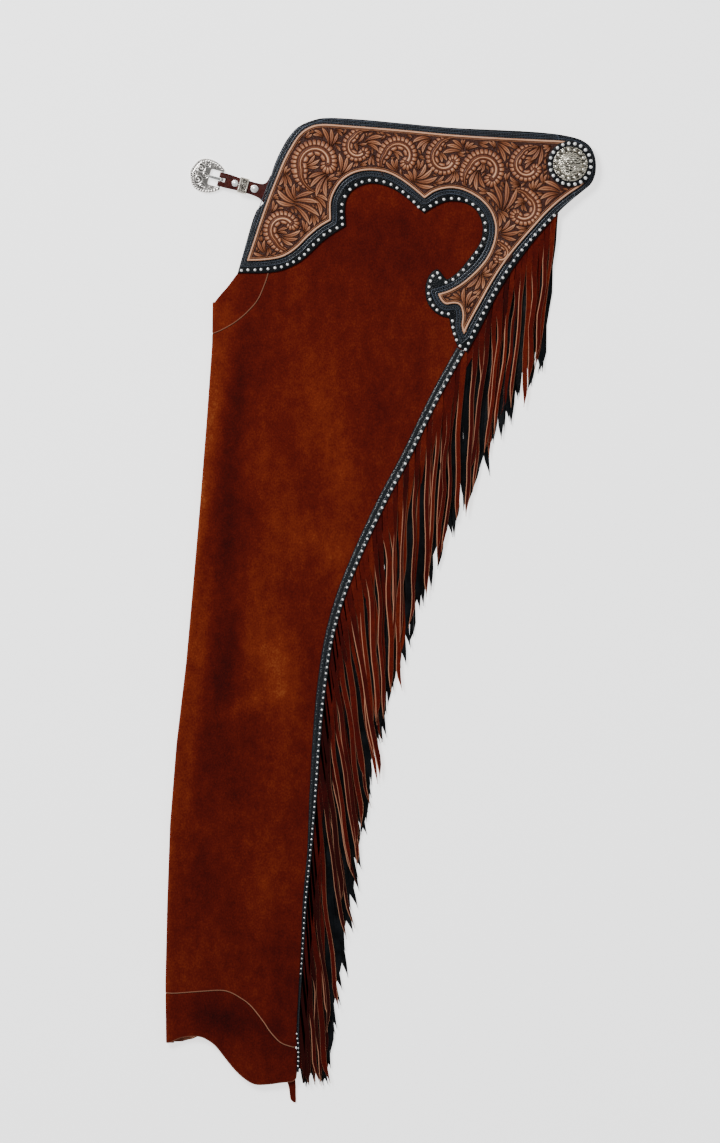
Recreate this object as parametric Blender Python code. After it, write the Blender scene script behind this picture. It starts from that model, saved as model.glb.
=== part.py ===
"""Western show chaps, folded flat and lying on their inner side.

The near leg's outer side faces up: a suede leg with a corner piece at the thigh and a shaped foot
piece at the hem, a black scalloped yoke under a tooled overlay, a belt strap with its buckle, and
two layers of fringe along the outer seam. The near leg's inner side and the far leg lie folded
underneath as one layered solid.

Sizes are in millimetres and become metres where a mesh is made. +X runs from the front fold to the
outer seam, +Y runs up the leg, and the floor is z = 0. The origin is the middle of the footprint.
"""

import math
import random

import bmesh
import bpy
import numpy as np
from mathutils import Matrix, Vector
from mathutils.geometry import delaunay_2d_cdt

MM = 0.001
# The outlines are drawn from a line a little right of the footprint's middle
MIDDLE_X = -13.55
GAP = 0.3
# The seam bends between its points, so what meets there keeps this much more
SEAM_SLACK = 0.2

# Cloth and leather thicknesses
SUEDE = 1.5
YOKE_LEATHER = 2.0
TOOLED_LEATHER = 2.5
WELT_LEATHER = 1.5
STRAP_LEATHER = 1.4

# Heights of the layers above the floor
HIDDEN_TOP = 6.6
LEG_TOP = 8.4
YOKE_BOTTOM = LEG_TOP + GAP
YOKE_TOP = YOKE_BOTTOM + YOKE_LEATHER
TOOLED_BOTTOM = YOKE_TOP + GAP
TOOLED_TOP = TOOLED_BOTTOM + TOOLED_LEATHER
ROSETTE_THICK = 1.5
CONCHO_BOTTOM = TOOLED_TOP + GAP + ROSETTE_THICK + GAP

# The leg turns round the front fold and shows a narrow flap on its underside
FOLD_RADIUS = 2.4
FLAP = 6.5
FLAP_END = -(math.pi * FOLD_RADIUS + FLAP)

# The leg's waist edge lies this far inside the yoke's, and the thigh piece reaches this far under it
LEG_INSET = 1.5
UNDER_YOKE = 3.6

# How far apart the points of an outline and of a panel's middle lie
EDGE_STEP = 16.0
YOKE_STEP = 8.5
PANEL_STEP = 44.0

# The front strap runs to the left of the yoke and a little upwards
STRAP_ANGLE = math.radians(15.2)
BAR_CENTRE = (-189.2, 474.0)
BAR_HEIGHT = 3.3
BAR_RADIUS = 1.25
STRAP_ROOT = 51.4
BUCKLE_LENGTH = 35.2
LOOP_RADIUS = BAR_RADIUS + GAP + STRAP_LEATHER / 2
ROOT_HEIGHT = (YOKE_BOTTOM + YOKE_TOP) / 2

# Front fold: y, x of the leg's left edge
FOLD_LINE = [
    (-476, -249.8),
    (-412, -250.6),
    (-324, -248.6),
    (-236, -245.5),
    (-148, -238.5),
    (-60, -228.0),
    (28, -220.0),
    (116, -212.5),
    (204, -205.5),
    (292, -199.2),
    (339, -198.6),
]

# Outer seam from the yoke down to the hem: x, y
SEAM_LINE = [
    (179.3, 437),
    (148.5, 405),
    (116, 358),
    (93.5, 315),
    (75, 281),
    (48.5, 232.5),
    (17.5, 169),
    (-10.5, 116),
    (-37.5, 57.5),
    (-57, 7),
    (-69, -40),
    (-76.5, -93),
    (-81.5, -145),
    (-86, -209),
    (-91, -266),
    (-96.5, -323),
    (-100, -378),
    (-103.5, -429),
    (-105, -467),
    (-104.5, -490),
    (-105, -508),
]

# Seam of the thigh piece, from under the yoke's front edge to the fold: x, y, corner
THIGH_SEAM = [
    (-169, 381.5, True),
    (-150, 381.5, False),
    (-136, 379, True),
    (-136.4, 372, False),
    (-140.8, 358, False),
    (-148.5, 341, False),
    (-160.6, 327, False),
    (-174, 316, False),
    (-188, 308, False),
    (-196.2, 304.5, True),
]

# Free front edge of the thigh piece, from the yoke down to the fold: x, y
THIGH_EDGE = [(-171.1, 370.7), (-181.5, 356.7), (-189.2, 347.9), (-196.4, 339)]

# Seam of the hem piece, from the fold to the outer seam: x, y
HEM_SEAM = [
    (-247.4, -421.7),
    (-239.8, -422),
    (-212, -420),
    (-190.3, -418.8),
    (-179.3, -421),
    (-168.3, -427),
    (-157.3, -435.3),
    (-144, -451.8),
    (-135.3, -464.5),
    (-124.3, -476),
    (-113.3, -480.4),
    (-106.2, -482),
]

# Lower edge of the hem piece, from the fold to the outer seam: x, y
HEM_EDGE = [
    (-247.4, -476.2),
    (-243, -474.9),
    (-234.3, -471),
    (-223.3, -469.2),
    (-213.4, -469.4),
    (-205.7, -472.2),
    (-195.8, -479.3),
    (-184.8, -493),
    (-173.8, -506.3),
    (-162.8, -516.2),
    (-151.8, -522),
    (-137.5, -522),
    (-122, -520),
    (-111, -518.9),
    (-106.6, -515.6),
    (-105.4, -508),
]

# Waist side of the yoke, from its front tip to the outer seam: x, y, corner
YOKE_FRONT = [
    (-171.1, 370.7, True),
    (-163.9, 396.3, False),
    (-155.1, 427.1, False),
    (-150.2, 440, True),
]
# Where the front strap's square end meets the yoke, across the strap
STRAP_SEAT = (-13.0, 19.0)
YOKE_WAIST = [
    (-129.8, 492, False),
    (-123.2, 506.3, False),
    (-115.5, 519.5, False),
    (-104.5, 531.6, False),
    (-89, 538.7, False),
    (-71.5, 541.7, False),
    (-34, 539.8, False),
    (7.7, 536, False),
    (62.7, 531, False),
    (117.7, 528.3, False),
    (150.7, 526.6, False),
    (179.3, 523.9, False),
    (200.2, 519.8, False),
    (211.2, 515.1, False),
    (217.8, 509, False),
    (222, 499.7, False),
    (223.4, 489.8, False),
    (222.4, 478.8, False),
    (217.8, 468.9, False),
    (209, 461.2, False),
    (196.9, 451.3, False),
    (183.7, 439.2, False),
]

# Outer seam side, tip, hook and scallops of the yoke, back to its front tip: x, y, corner
YOKE_SCALLOPS = [
    (167.2, 420.5, False),
    (150.7, 400.7, False),
    (130.9, 373.7, False),
    (113.3, 344.6, False),
    (97.9, 313.8, False),
    (85.8, 291.2, False),
    (81.4, 283.5, True),
    (71, 289.6, True),
    (64.9, 307.2, False),
    (61.6, 321.5, True),
    (53.9, 323.3, False),
    (45.7, 328.1, False),
    (38.5, 336.9, False),
    (35.8, 346.8, False),
    (35.8, 356.7, False),
    (38.5, 366, False),
    (44, 373.2, False),
    (49.5, 374.8, False),
    (54.5, 369.3, False),
    (59.4, 364, False),
    (69.3, 370.4, False),
    (78.1, 379.8, False),
    (85.8, 389.7, False),
    (93, 399.6, False),
    (97.4, 409.5, False),
    (98.5, 420.5, False),
    (96.3, 430.9, False),
    (90.8, 440.3, False),
    (81.4, 446.9, False),
    (70.4, 449.6, False),
    (58.3, 449.1, False),
    (46.2, 444.1, False),
    (34.1, 436.4, True),
    (23.7, 445.8, False),
    (13.2, 454.6, False),
    (2.2, 462, False),
    (-9.9, 467.2, False),
    (-24.2, 469.4, False),
    (-37.4, 466.1, False),
    (-46.8, 459, False),
    (-51.9, 449.1, False),
    (-52.8, 437, False),
    (-51.7, 422.7, True),
    (-60.5, 417.2, False),
    (-73.7, 408.4, False),
    (-86.9, 396.3, False),
    (-99, 385.3, False),
    (-112.2, 377.6, False),
    (-126.5, 372.6, False),
    (-144.1, 370.7, False),
    (-158.4, 370.7, False),
]

# The tooled overlay, from its front tip along the waist and back over the scallops: x, y, corner
TOOLED_EDGE = [
    (-160.6, 384.2, True),
    (-152.9, 407.3, False),
    (-144.1, 433.7, False),
    (-135.3, 457.9, False),
    (-128.2, 475.5, False),
    (-121, 493.1, False),
    (-113.3, 507.9, False),
    (-103.4, 522.8, False),
    (-92.4, 531, False),
    (-78.1, 534.5, False),
    (-47.3, 532.7, False),
    (7.7, 528.3, False),
    (62.7, 523.1, False),
    (117.7, 519.5, False),
    (161.7, 517.3, False),
    (185.9, 516, False),
    (202.4, 512.9, False),
    (213.4, 504.1, False),
    (217.6, 492, False),
    (216.2, 479.9, False),
    (209, 468.9, False),
    (195.8, 459.5, False),
    (182.6, 449.6, False),
    (169.4, 437.5, False),
    (155.1, 421.6, False),
    (139.7, 404, False),
    (126.5, 387.5, False),
    (111.1, 364.4, False),
    (96.8, 339.1, False),
    (84.7, 317.1, False),
    (78.1, 303.3, True),
    (75.4, 312.7, False),
    (76.5, 324.8, False),
    (73.7, 335.2, False),
    (67.1, 337.4, False),
    (58.3, 336.3, False),
    (52.8, 340.7, False),
    (49.5, 347.9, True),
    (61.6, 351.7, False),
    (73.7, 358.3, False),
    (84.7, 367.1, False),
    (95.7, 378.1, False),
    (104.5, 390.2, False),
    (110.6, 405.1, False),
    (112.5, 420.5, False),
    (109.5, 433.7, False),
    (103.4, 444.1, False),
    (93.5, 453.5, False),
    (80.3, 460.8, False),
    (68.2, 463.9, False),
    (57.2, 463.7, False),
    (45.1, 460.1, False),
    (34.7, 452.9, True),
    (23.1, 462.8, False),
    (9.9, 472.7, False),
    (-3.3, 479.9, False),
    (-16.5, 483.2, False),
    (-30.8, 483.5, False),
    (-44, 480.2, False),
    (-55.6, 472.7, False),
    (-63.8, 461.2, False),
    (-68.2, 448, False),
    (-68.2, 428.7, True),
    (-80.3, 421.6, False),
    (-93.5, 410.6, False),
    (-105.6, 398.5, False),
    (-117.7, 390.2, False),
    (-129.8, 386.4, False),
    (-146.3, 384.5, False),
]

# Soft swells of the suede: x, y of the middle, turn in degrees, half length, half width, height
SWELLS = [
    (-120, 170, 72, 150, 34, 1.3),
    (-40, 150, 62, 110, 26, 1.1),
    (-165, -20, 84, 170, 28, 1.2),
    (-110, -140, 88, 190, 30, 1.4),
    (-195, -290, 92, 130, 26, 1.2),
    (-140, -350, 100, 90, 24, 1.3),
]

# The welt starts square against the yoke's tip
WELT_START = 285.3

# Welt along the outer seam: y, width left of the seam line, width right of it
WELT_WIDTHS = [
    (-507, 1.2, 1.6),
    (-460, 1.2, 1.6),
    (-429, 1.0, 1.6),
    (-378, 1.6, 1.8),
    (-323, 3.0, 1.9),
    (-266, 3.4, 1.9),
    (-209, 6.4, 1.9),
    (-93, 8.0, 2.0),
    (57, 8.4, 2.0),
    (281, 8.4, 2.0),
]

# The first strand's root lies this far down the seam
FIRST_ROOT = 17.0

# Fringe heading beyond the seam: distance along the seam, width
HEADING_WIDTHS = [(0, 1.5), (FIRST_ROOT - 5, 12.0), (400, 12.0), (600, 10.5), (960, 9.5), (1000, 7.0)]

# Lean of the strands to the right of straight down: y of the root, degrees
STRAND_LEANS = [
    (-500, 11.0),
    (-420, 7.5),
    (-346, 7.0),
    (-236, 8.8),
    (-148, 10.3),
    (-38, 11.3),
    (28, 8.8),
    (72, 5.5),
    (116, 1.8),
    (160, -0.8),
    (204, -1.8),
    (248, -2.5),
    (418, -2.5),
]

# Length of the strands: y of the root, length
STRAND_LENGTHS = [(-280, 172), (-140, 178), (60, 182), (200, 178), (330, 166), (420, 148)]

# Height of a strand as it lies: narrow strands stand on edge. y of the root, height
STRAND_HEIGHTS = [(-200, 3.2), (-60, 2.3), (60, 1.6), (130, 1.4)]

STRAND_PITCH = 11.0
STRAND_GAP = 0.5
STRAND_WIDEST = 7.0
STRAND_TAPER = 0.86
FRINGE_BASE = 0.45
FRINGE_TRIM = -524.0
SETTLED = 32.0
WAVE_END = 95.0

# Front strap seen from above: distance behind the bar, lower edge, upper edge
STRAP_EDGES = [
    (STRAP_ROOT, -12.6, 18.5),
    (50.3, -11.6, 12.6),
    (48.5, -10.6, 9.0),
    (46, -9.2, 7.2),
    (42, -8.2, 6.5),
    (36, -7.6, 6.4),
    (29, -7.4, 6.6),
    (20, -7.3, 6.9),
    (12, -7.6, 7.7),
    (6, -7.9, 8.0),
    (2.6, -7.8, 7.8),
    (0, -7.8, 7.8),
]
STRAP_STATIONS = (STRAP_ROOT, 50.3, 48.5, 46, 42, 36, 29, 20, 12, 9, 6, 3, 0)
LOOP_HALF_WIDTH = 7.8
SLOT_HALF_WIDTH = 2.1
SLOT_TOP_END = 6.0
SLOT_UNDER_END = 4.4

# The strap's end goes back under it: distance behind the bar, half width
RETURN_ROWS = [(SLOT_UNDER_END, 7.2), (9, 6), (16, 6), (30, 6), (44, 6)]
PLIES_MEET = 16.0
PLY_DROP = STRAP_LEATHER + GAP + 0.05

# Keeper: its inside from side to side, its walls, and its top wall by distance behind the bar
KEEPER_LOW = -7.75
KEEPER_HIGH = 7.2
KEEPER_SIDE_WALL = 1.3
KEEPER_UNDER_WALL = 1.0
KEEPER_CORNER = 1.0
KEEPER_TOP_WALLS = [(30.4, 1.7), (28.7, 1.7), (28.3, 1.2), (22.5, 1.2), (22.1, 1.7), (20.4, 1.7)]

# Domed fasteners: name, distance behind the bar, sideways place, radius
SNAPS = [("snap_front", 16.0, -0.2, 3.6), ("snap_back", 38.3, -0.5, 4.2)]
SNAP_HEIGHT = 1.6

# Half of the buckle's outline, from its heel to its far end: along, across
BUCKLE_HEEL = -1.6
BUCKLE_SIDE = [
    (BUCKLE_HEEL, 10.8),
    (2.9, 14.4),
    (7.5, 16.8),
    (12.5, 18.2),
    (18, 18.6),
    (24, 17.4),
    (28.4, 14.8),
    (31.2, 11),
    (33.2, 6.6),
    (34.7, 2.6),
]
WINDOW_FAR = 13.2
WINDOW_HALF = 8.7
WINDOW_CORNER = 1.6
BUCKLE_BOTTOM = 0.3
BUCKLE_EDGE_TOP = 3.7
BUCKLE_HEEL_LIFT = 1.0
# The broad end is domed: along, half length, half width, rise
BUCKLE_CROWN = (23.0, 12.0, 19.0, 1.3)

EYE_RADIUS = 2.8
EYE_HALF_WIDTH = 1.5
# The tongue's arm: along, half width, height of its underside, height of its top
TONGUE_ROWS = [
    (1.2, 1.4, 4.95, 6.0),
    (4.0, 1.5, 4.55, 6.4),
    (9.0, 1.45, 4.65, 6.55),
    (14.0, 1.25, 4.95, 6.6),
    (16.4, 0.6, 5.15, 6.2),
]

CONCHO_CENTRE = (194.9, 490.5)
ROSETTE_RADIUS = 25.6
ROSETTE_SCALLOPS = 21
ROSETTE_DIP = 1.1
CONCHO_RADIUS = 19.0
CONCHO_INNER = 14.5

# Pull under the hem: y, left edge, right edge, height of its underside
THONG = [
    (-517.2, -117.0, -107.2, 3.5),
    (-520, -116.2, -107.0, 3.1),
    (-525, -114.8, -106.8, 2.0),
    (-532, -113.8, -106.8, 0.9),
    (-538.5, -112.8, -106.6, 0.4),
    (-542.0, -109.4, -106.8, 0.4),
]
THONG_THICK = 1.6

# Edge of the hidden layers, from the floor up: height, inset at a cut edge, height, inset at the fold
HIDDEN_RIM = [
    (0.0, 2.8, 0.0, 1.9),
    (1.8, 2.3, 1.0, 0.6),
    (2.1, 3.8, 2.3, 0.6),
    (2.4, 2.8, 3.3, 1.9),
    (4.0, 2.8, 3.3, 9.6),
    (4.3, 4.2, 4.9, 9.9),
    (4.6, 3.4, 5.6, 10.3),
    (HIDDEN_TOP, 4.8, HIDDEN_TOP, 11.2),
]
# The fold ends at this height on the page, under the thigh piece
HIDDEN_FRONT_END = 330.0
# The far leg's hem shows past the near one here: x from, x to, how far
FAR_HEM = (-246, -208, 5.5)


def new_material(name, colour, roughness, metallic=0.0):
    material = bpy.data.materials.new(name)
    material.use_nodes = True
    shader = material.node_tree.nodes["Principled BSDF"]
    shader.inputs["Base Color"].default_value = (*colour, 1)
    shader.inputs["Roughness"].default_value = roughness
    shader.inputs["Metallic"].default_value = metallic
    return material


def new_solid(name, points, faces, material, smooth=False):
    """Makes one closed object from points in millimetres, with its faces turned outwards."""
    shape = bmesh.new()
    corners = [shape.verts.new((MM * (x - MIDDLE_X), MM * y, MM * z)) for x, y, z in points]
    for face in faces:
        shape.faces.new([corners[index] for index in face])
    bmesh.ops.recalc_face_normals(shape, faces=shape.faces)
    bmesh.ops.triangulate(shape, faces=shape.faces)
    mesh = bpy.data.meshes.new(name)
    shape.to_mesh(mesh)
    shape.free()
    mesh.materials.append(material)
    if smooth:
        mesh.shade_smooth()
        mesh.set_sharp_from_angle(angle=math.radians(40))
    solid = bpy.data.objects.new(name, mesh)
    bpy.context.scene.collection.objects.link(solid)
    return solid


def merge_into(solid, other):
    """Joins a second closed object to the first with an exact union, and removes the second."""
    union = solid.modifiers.new("union", "BOOLEAN")
    union.operation = "UNION"
    union.solver = "EXACT"
    union.object = other
    graph = bpy.context.evaluated_depsgraph_get()
    joined = bpy.data.meshes.new_from_object(solid.evaluated_get(graph))
    solid.modifiers.clear()
    solid.data = joined
    bpy.data.objects.remove(other)


def table_value(table, place, column=1):
    """Reads a table whose first column rises, with straight lines between its rows."""
    return float(np.interp(place, [row[0] for row in table], [row[column] for row in table]))


def curve_through(points, step):
    """Points about one step apart on a smooth curve through the given points, both ends kept."""
    ends = [2 * points[0] - points[1], *points, 2 * points[-1] - points[-2]]
    curve = []
    for before, start, end, after in zip(ends, ends[1:], ends[2:], ends[3:]):
        count = max(1, round(np.linalg.norm(end - start) / step))
        for part in np.arange(count) / count:
            slope_in = (end - before) / 2
            slope_out = (after - start) / 2
            square = part * part
            cube = square * part
            curve.append(
                (2 * cube - 3 * square + 1) * start
                + (cube - 2 * square + part) * slope_in
                + (3 * square - 2 * cube) * end
                + (cube - square) * slope_out
            )
    curve.append(points[-1])
    return np.array(curve)


def open_line(rows, step):
    """A smooth line through x, y rows. A third column marks corners."""
    runs = [[np.array(rows[0][:2], float)]]
    for row in rows[1:]:
        runs[-1].append(np.array(row[:2], float))
        if len(row) > 2 and row[2] and row is not rows[-1]:
            runs.append([np.array(row[:2], float)])
    lines = [curve_through(run, step) for run in runs]
    return np.concatenate([line if line is lines[-1] else line[:-1] for line in lines])


def closed_line(rows, step):
    """The same, back to the first row, which is a corner."""
    return open_line([*rows, (*rows[0][:2], True)], step)[:-1]


def shifted_line(line, distance, closed=False):
    """The line moved sideways to its left by a distance."""
    if closed:
        before = np.roll(line, 1, axis=0)
        after = np.roll(line, -1, axis=0)
    else:
        before = np.concatenate([line[:1], line[:-1]])
        after = np.concatenate([line[1:], line[-1:]])
    along_in = line - before
    along_out = after - line
    if not closed:
        along_in[0] = along_out[0]
        along_out[-1] = along_in[-1]
    along_in /= np.linalg.norm(along_in, axis=1, keepdims=True)
    along_out /= np.linalg.norm(along_out, axis=1, keepdims=True)
    middle = along_in + along_out
    middle /= np.linalg.norm(middle, axis=1, keepdims=True)
    stretch = np.maximum((middle * along_in).sum(axis=1, keepdims=True), 0.5)
    left = np.stack([-middle[:, 1], middle[:, 0]], axis=1)
    distances = np.broadcast_to(np.asarray(distance, float), (len(line),))
    return line + left * distances[:, None] / stretch


def is_inside(point, outline):
    x, y = point
    start = outline
    end = np.roll(outline, -1, axis=0)
    crosses = (start[:, 1] > y) != (end[:, 1] > y)
    rise = np.where(crosses, end[:, 1] - start[:, 1], 1)
    meets = start[:, 0] + (y - start[:, 1]) / rise * (end[:, 0] - start[:, 0])
    return bool(((meets > x) & crosses).sum() % 2)


def middle_points(outline, step):
    """A staggered grid of points inside an outline, clear of its edge."""
    low = outline.min(axis=0)
    high = outline.max(axis=0)
    rows = np.arange(low[1] + step / 2, high[1], step * 0.87)
    found = []
    for number, y in enumerate(rows):
        for x in np.arange(low[0] + step / 2 * (number % 2), high[0], step):
            clear = np.linalg.norm(outline - (x, y), axis=1).min()
            if clear > step * 0.42 and is_inside((x, y), outline):
                found.append((x, y))
    return found


def filled(outline, inner):
    """Triangles that fill an outline and use the inner points.

    Returns the corners, the triangles by corner, and the triangles by the points that were given."""
    count = len(outline)
    edges = [(index, (index + 1) % count) for index in range(count)]
    points = [tuple(map(float, point)) for point in [*outline, *inner]]
    made = delaunay_2d_cdt(points, edges, [], 0, 1e-6)
    corners = [tuple(point) for point in made[0]]
    faces = []
    for face in made[2]:
        middle = np.mean([corners[index] for index in face], axis=0)
        if is_inside(middle, outline):
            faces.append(list(face))
    given = [[made[3][index][0] for index in face] for face in faces]
    return corners, faces, given


def sheet(name, outline, inner, face_of, back_of, material):
    """A closed sheet: the filled outline carried to its face and to its back, with walls between."""
    corners, faces, _ = filled(outline, inner)
    count = len(corners)
    points = [face_of(*corner) for corner in corners] + [back_of(*corner) for corner in corners]
    sides = {}
    for face in faces:
        for start, end in zip(face, face[1:] + face[:1]):
            sides[start, end] = True
    walls = [(start, end) for start, end in sides if (end, start) not in sides]
    solid = list(faces)
    solid += [[index + count for index in reversed(face)] for face in faces]
    solid += [[end, start, start + count, end + count] for start, end in walls]
    return new_solid(name, points, solid, material)


def flat_sheet(name, outline, inner, bottom, top, material):
    return sheet(name, outline, inner, lambda x, y: (x, y, top), lambda x, y: (x, y, bottom), material)


def turned(name, profile, sides, place, material, radius_of=None):
    """A closed round shape from radius, height rows that run from its foot to its crown."""
    points = [place(0, 0, profile[0][1])]
    for radius, height in profile:
        for side in range(sides):
            angle = math.tau * side / sides
            reach = radius_of(radius, angle) if radius_of else radius
            points.append(place(reach * math.cos(angle), reach * math.sin(angle), height))
    points.append(place(0, 0, profile[-1][1]))
    faces = []
    for side in range(sides):
        following = (side + 1) % sides
        faces.append([0, 1 + following, 1 + side])
        for ring in range(len(profile) - 1):
            first = 1 + ring * sides
            faces.append(
                [first + side, first + following, first + sides + following, first + sides + side]
            )
        last = 1 + (len(profile) - 1) * sides
        faces.append([len(points) - 1, last + side, last + following])
    return new_solid(name, points, faces, material, smooth=True)


def fold_x(y):
    return table_value(FOLD_LINE, y)


def smooth_step(value):
    value = min(max(value, 0.0), 1.0)
    return value * value * (3 - 2 * value)


def seam_x(y):
    rows = sorted((point[1], point[0]) for point in SEAM_LINE)
    return table_value(rows, y)


def suede_height(x, y):
    """Height of the suede's face: flat at its edges and seams, with soft swells between."""
    calm = smooth_step((x - fold_x(y) - 6) / 30)
    calm *= smooth_step((seam_x(y) - 12 - x) / 30)
    calm *= smooth_step((y + 410) / 40) * smooth_step((275 - y) / 60)
    height = 0.0
    for middle_x, middle_y, turn, half_length, half_width, rise in SWELLS:
        angle = math.radians(turn)
        along = (x - middle_x) * math.cos(angle) + (y - middle_y) * math.sin(angle)
        across = (y - middle_y) * math.cos(angle) - (x - middle_x) * math.sin(angle)
        height += rise * math.exp(-((along / half_length) ** 2) - (across / half_width) ** 2)
    return LEG_TOP + calm * height


def folded(place, y, depth):
    """A point of the leg's cloth, at a place right of the fold's top line and a depth under its face."""
    start_x = fold_x(y) + FOLD_RADIUS
    if place >= 0:
        return (start_x + place, y, suede_height(start_x + place, y) - depth)
    radius = FOLD_RADIUS - depth
    angle = min(-place / FOLD_RADIUS, math.pi)
    past = max(-place - math.pi * FOLD_RADIUS, 0)
    middle = LEG_TOP - FOLD_RADIUS
    return (start_x - radius * math.sin(angle) + past, y, middle + radius * math.cos(angle))


def unfolded(line):
    """The line with its x turned into the place right of the fold's top line."""
    return np.array([(x - fold_x(y) - FOLD_RADIUS, y) for x, y in line])


def fold_columns():
    quarters = [-math.pi * FOLD_RADIUS * part / 4 for part in range(1, 5)]
    return [*quarters, FLAP_END]


def wrapped_outline(lower, right, upper, fold_low, fold_high):
    """A leg panel's outline, unfolded: its lower edge, right edge, upper edge and the flap."""
    columns = fold_columns()
    under = [(place, fold_high) for place in columns]
    rows = np.arange(fold_high - PANEL_STEP, fold_low + PANEL_STEP / 2, -PANEL_STEP)
    flap_edge = [(FLAP_END, y) for y in rows]
    back = [(place, fold_low) for place in reversed(columns)]
    sewn = [*unfolded(lower), *unfolded(right), *unfolded(upper)]
    outline = np.array([*sewn, *under, *flap_edge, *back])
    inner = [(place, y) for y in rows for place in [0.0, *columns[:-1]]]
    return outline, inner


def leg_sheet(name, outline, inner, material):
    # The grid leaves the flap alone, whose points stand in columns of their own.
    right_part = [point for point in middle_points(outline, PANEL_STEP) if point[0] > PANEL_STEP / 3]
    return sheet(
        name,
        outline,
        inner + right_part,
        lambda place, y: folded(place, y, 0.0),
        lambda place, y: folded(place, y, SUEDE),
        material,
    )


def strap_place(along, across):
    """Ground place of a point that lies past the buckle's bar, and across it."""
    cosine = math.cos(STRAP_ANGLE)
    sine = math.sin(STRAP_ANGLE)
    x = BAR_CENTRE[0] - along * cosine + across * sine
    y = BAR_CENTRE[1] + along * sine + across * cosine
    return x, y


def waist_rows():
    seat = [(*strap_place(-STRAP_ROOT - GAP, across), True) for across in STRAP_SEAT]
    return [*YOKE_FRONT, *seat, *YOKE_WAIST]


def waist_line(step):
    """The yoke's edge from its front tip over the waist to the top of the outer seam."""
    return open_line(waist_rows(), step)


def build_leg(suede):
    seam = open_line(SEAM_LINE, EDGE_STEP)
    waist = shifted_line(waist_line(EDGE_STEP), -LEG_INSET)
    thigh_seam = open_line(THIGH_SEAM, EDGE_STEP)
    hem_seam = open_line(HEM_SEAM, EDGE_STEP)
    hem_edge = open_line(HEM_EDGE, EDGE_STEP)
    panel_edge = shifted_line(seam, -GAP - SEAM_SLACK)

    lower = shifted_line(hem_seam, GAP / 2)[:-1]
    right = panel_edge[::-1]
    right = right[right[:, 1] > lower[-1][1] - 1]
    thigh_line = shifted_line(thigh_seam, GAP / 2)
    front = waist[waist[:, 1] > thigh_line[0][1] + 4][::-1]
    upper = np.concatenate([front, thigh_line[1:]])
    outline, inner = wrapped_outline(lower, right, upper, lower[0][1], thigh_line[-1][1])
    leg_sheet("leg_panel", outline, inner, suede)

    seam_side = shifted_line(thigh_seam, -GAP / 2)[::-1]
    under_yoke = (THIGH_EDGE[0][0] + UNDER_YOKE, seam_side[-1][1])
    free_side = [under_yoke, *THIGH_EDGE]
    outline, inner = wrapped_outline(seam_side[:-1], [], free_side, seam_side[0][1], THIGH_EDGE[-1][1])
    leg_sheet("thigh_piece", outline, inner, suede)

    upper = shifted_line(hem_seam, -GAP / 2)[::-1]
    side = panel_edge[panel_edge[:, 1] < upper[0][1] - 4][::-1]
    outline, inner = wrapped_outline(hem_edge, side, upper, hem_edge[0][1], upper[-1][1])
    leg_sheet("hem_piece", outline, inner, suede)


def build_hidden_layers(suede):
    """The near leg's inner side and the far leg, with the edges of three layers at the rim."""
    step = PANEL_STEP
    seam = open_line(SEAM_LINE, step)
    hem = open_line(HEM_EDGE, EDGE_STEP)
    for point in hem:
        middle = (FAR_HEM[0] + FAR_HEM[1]) / 2
        half = (FAR_HEM[1] - FAR_HEM[0]) / 2
        point[1] -= FAR_HEM[2] * smooth_step(1.4 - 1.4 * abs(point[0] - middle) / half)
    # Short edges beside the corner would cross when they are moved in.
    hem = hem[hem[:, 0] > FOLD_LINE[0][1] + 1.4 * HIDDEN_RIM[-1][3]]
    rows = [*np.arange(FOLD_LINE[0][0], HIDDEN_FRONT_END - 10, step), HIDDEN_FRONT_END]
    fold = np.array([(fold_x(y), y) for y in rows])
    front = np.array(THIGH_EDGE[:0:-1], float)
    waist = waist_line(step / 2)
    loop = np.concatenate([seam, hem[-2::-1], fold, front, waist])[::-1]

    flap_end = FOLD_RADIUS + FLAP
    shares = []
    for x, y in loop:
        past_fold = x - fold_x(y) - flap_end - 2
        past_flap = y - THIGH_SEAM[-1][1] - 40
        shares.append((1 - smooth_step(past_fold / 22)) * (1 - smooth_step(past_flap / 12)))
    shares = np.array(shares)
    points = []
    for cut_height, cut_inset, fold_height, fold_inset in HIDDEN_RIM:
        heights = cut_height + (fold_height - cut_height) * shares
        insets = cut_inset + (fold_inset - cut_inset) * shares
        ring = shifted_line(loop, insets, closed=True)
        points += [(*place, height) for place, height in zip(ring, heights)]
    count = len(loop)
    faces = []
    for ring in range(len(HIDDEN_RIM) - 1):
        for index in range(count):
            following = (index + 1) % count
            low = ring * count
            high = low + count
            faces.append([low + index, low + following, high + following, high + index])
    for ring in (0, len(HIDDEN_RIM) - 1):
        cap = np.array(points[ring * count : (ring + 1) * count])
        for triangle in filled(cap[:, :2], [])[2]:
            faces.append([ring * count + index for index in triangle])
    return new_solid("hidden_layers", points, faces, suede)


def build_yoke(black, tooled):
    outline = closed_line([*waist_rows(), *YOKE_SCALLOPS], YOKE_STEP)
    inner = middle_points(outline, PANEL_STEP)
    flat_sheet("yoke_base", outline, inner, YOKE_BOTTOM, YOKE_TOP, black)
    outline = closed_line(TOOLED_EDGE, YOKE_STEP)
    inner = middle_points(outline, PANEL_STEP)
    flat_sheet("yoke_tooled", outline, inner, TOOLED_BOTTOM, TOOLED_TOP, tooled)


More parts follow.
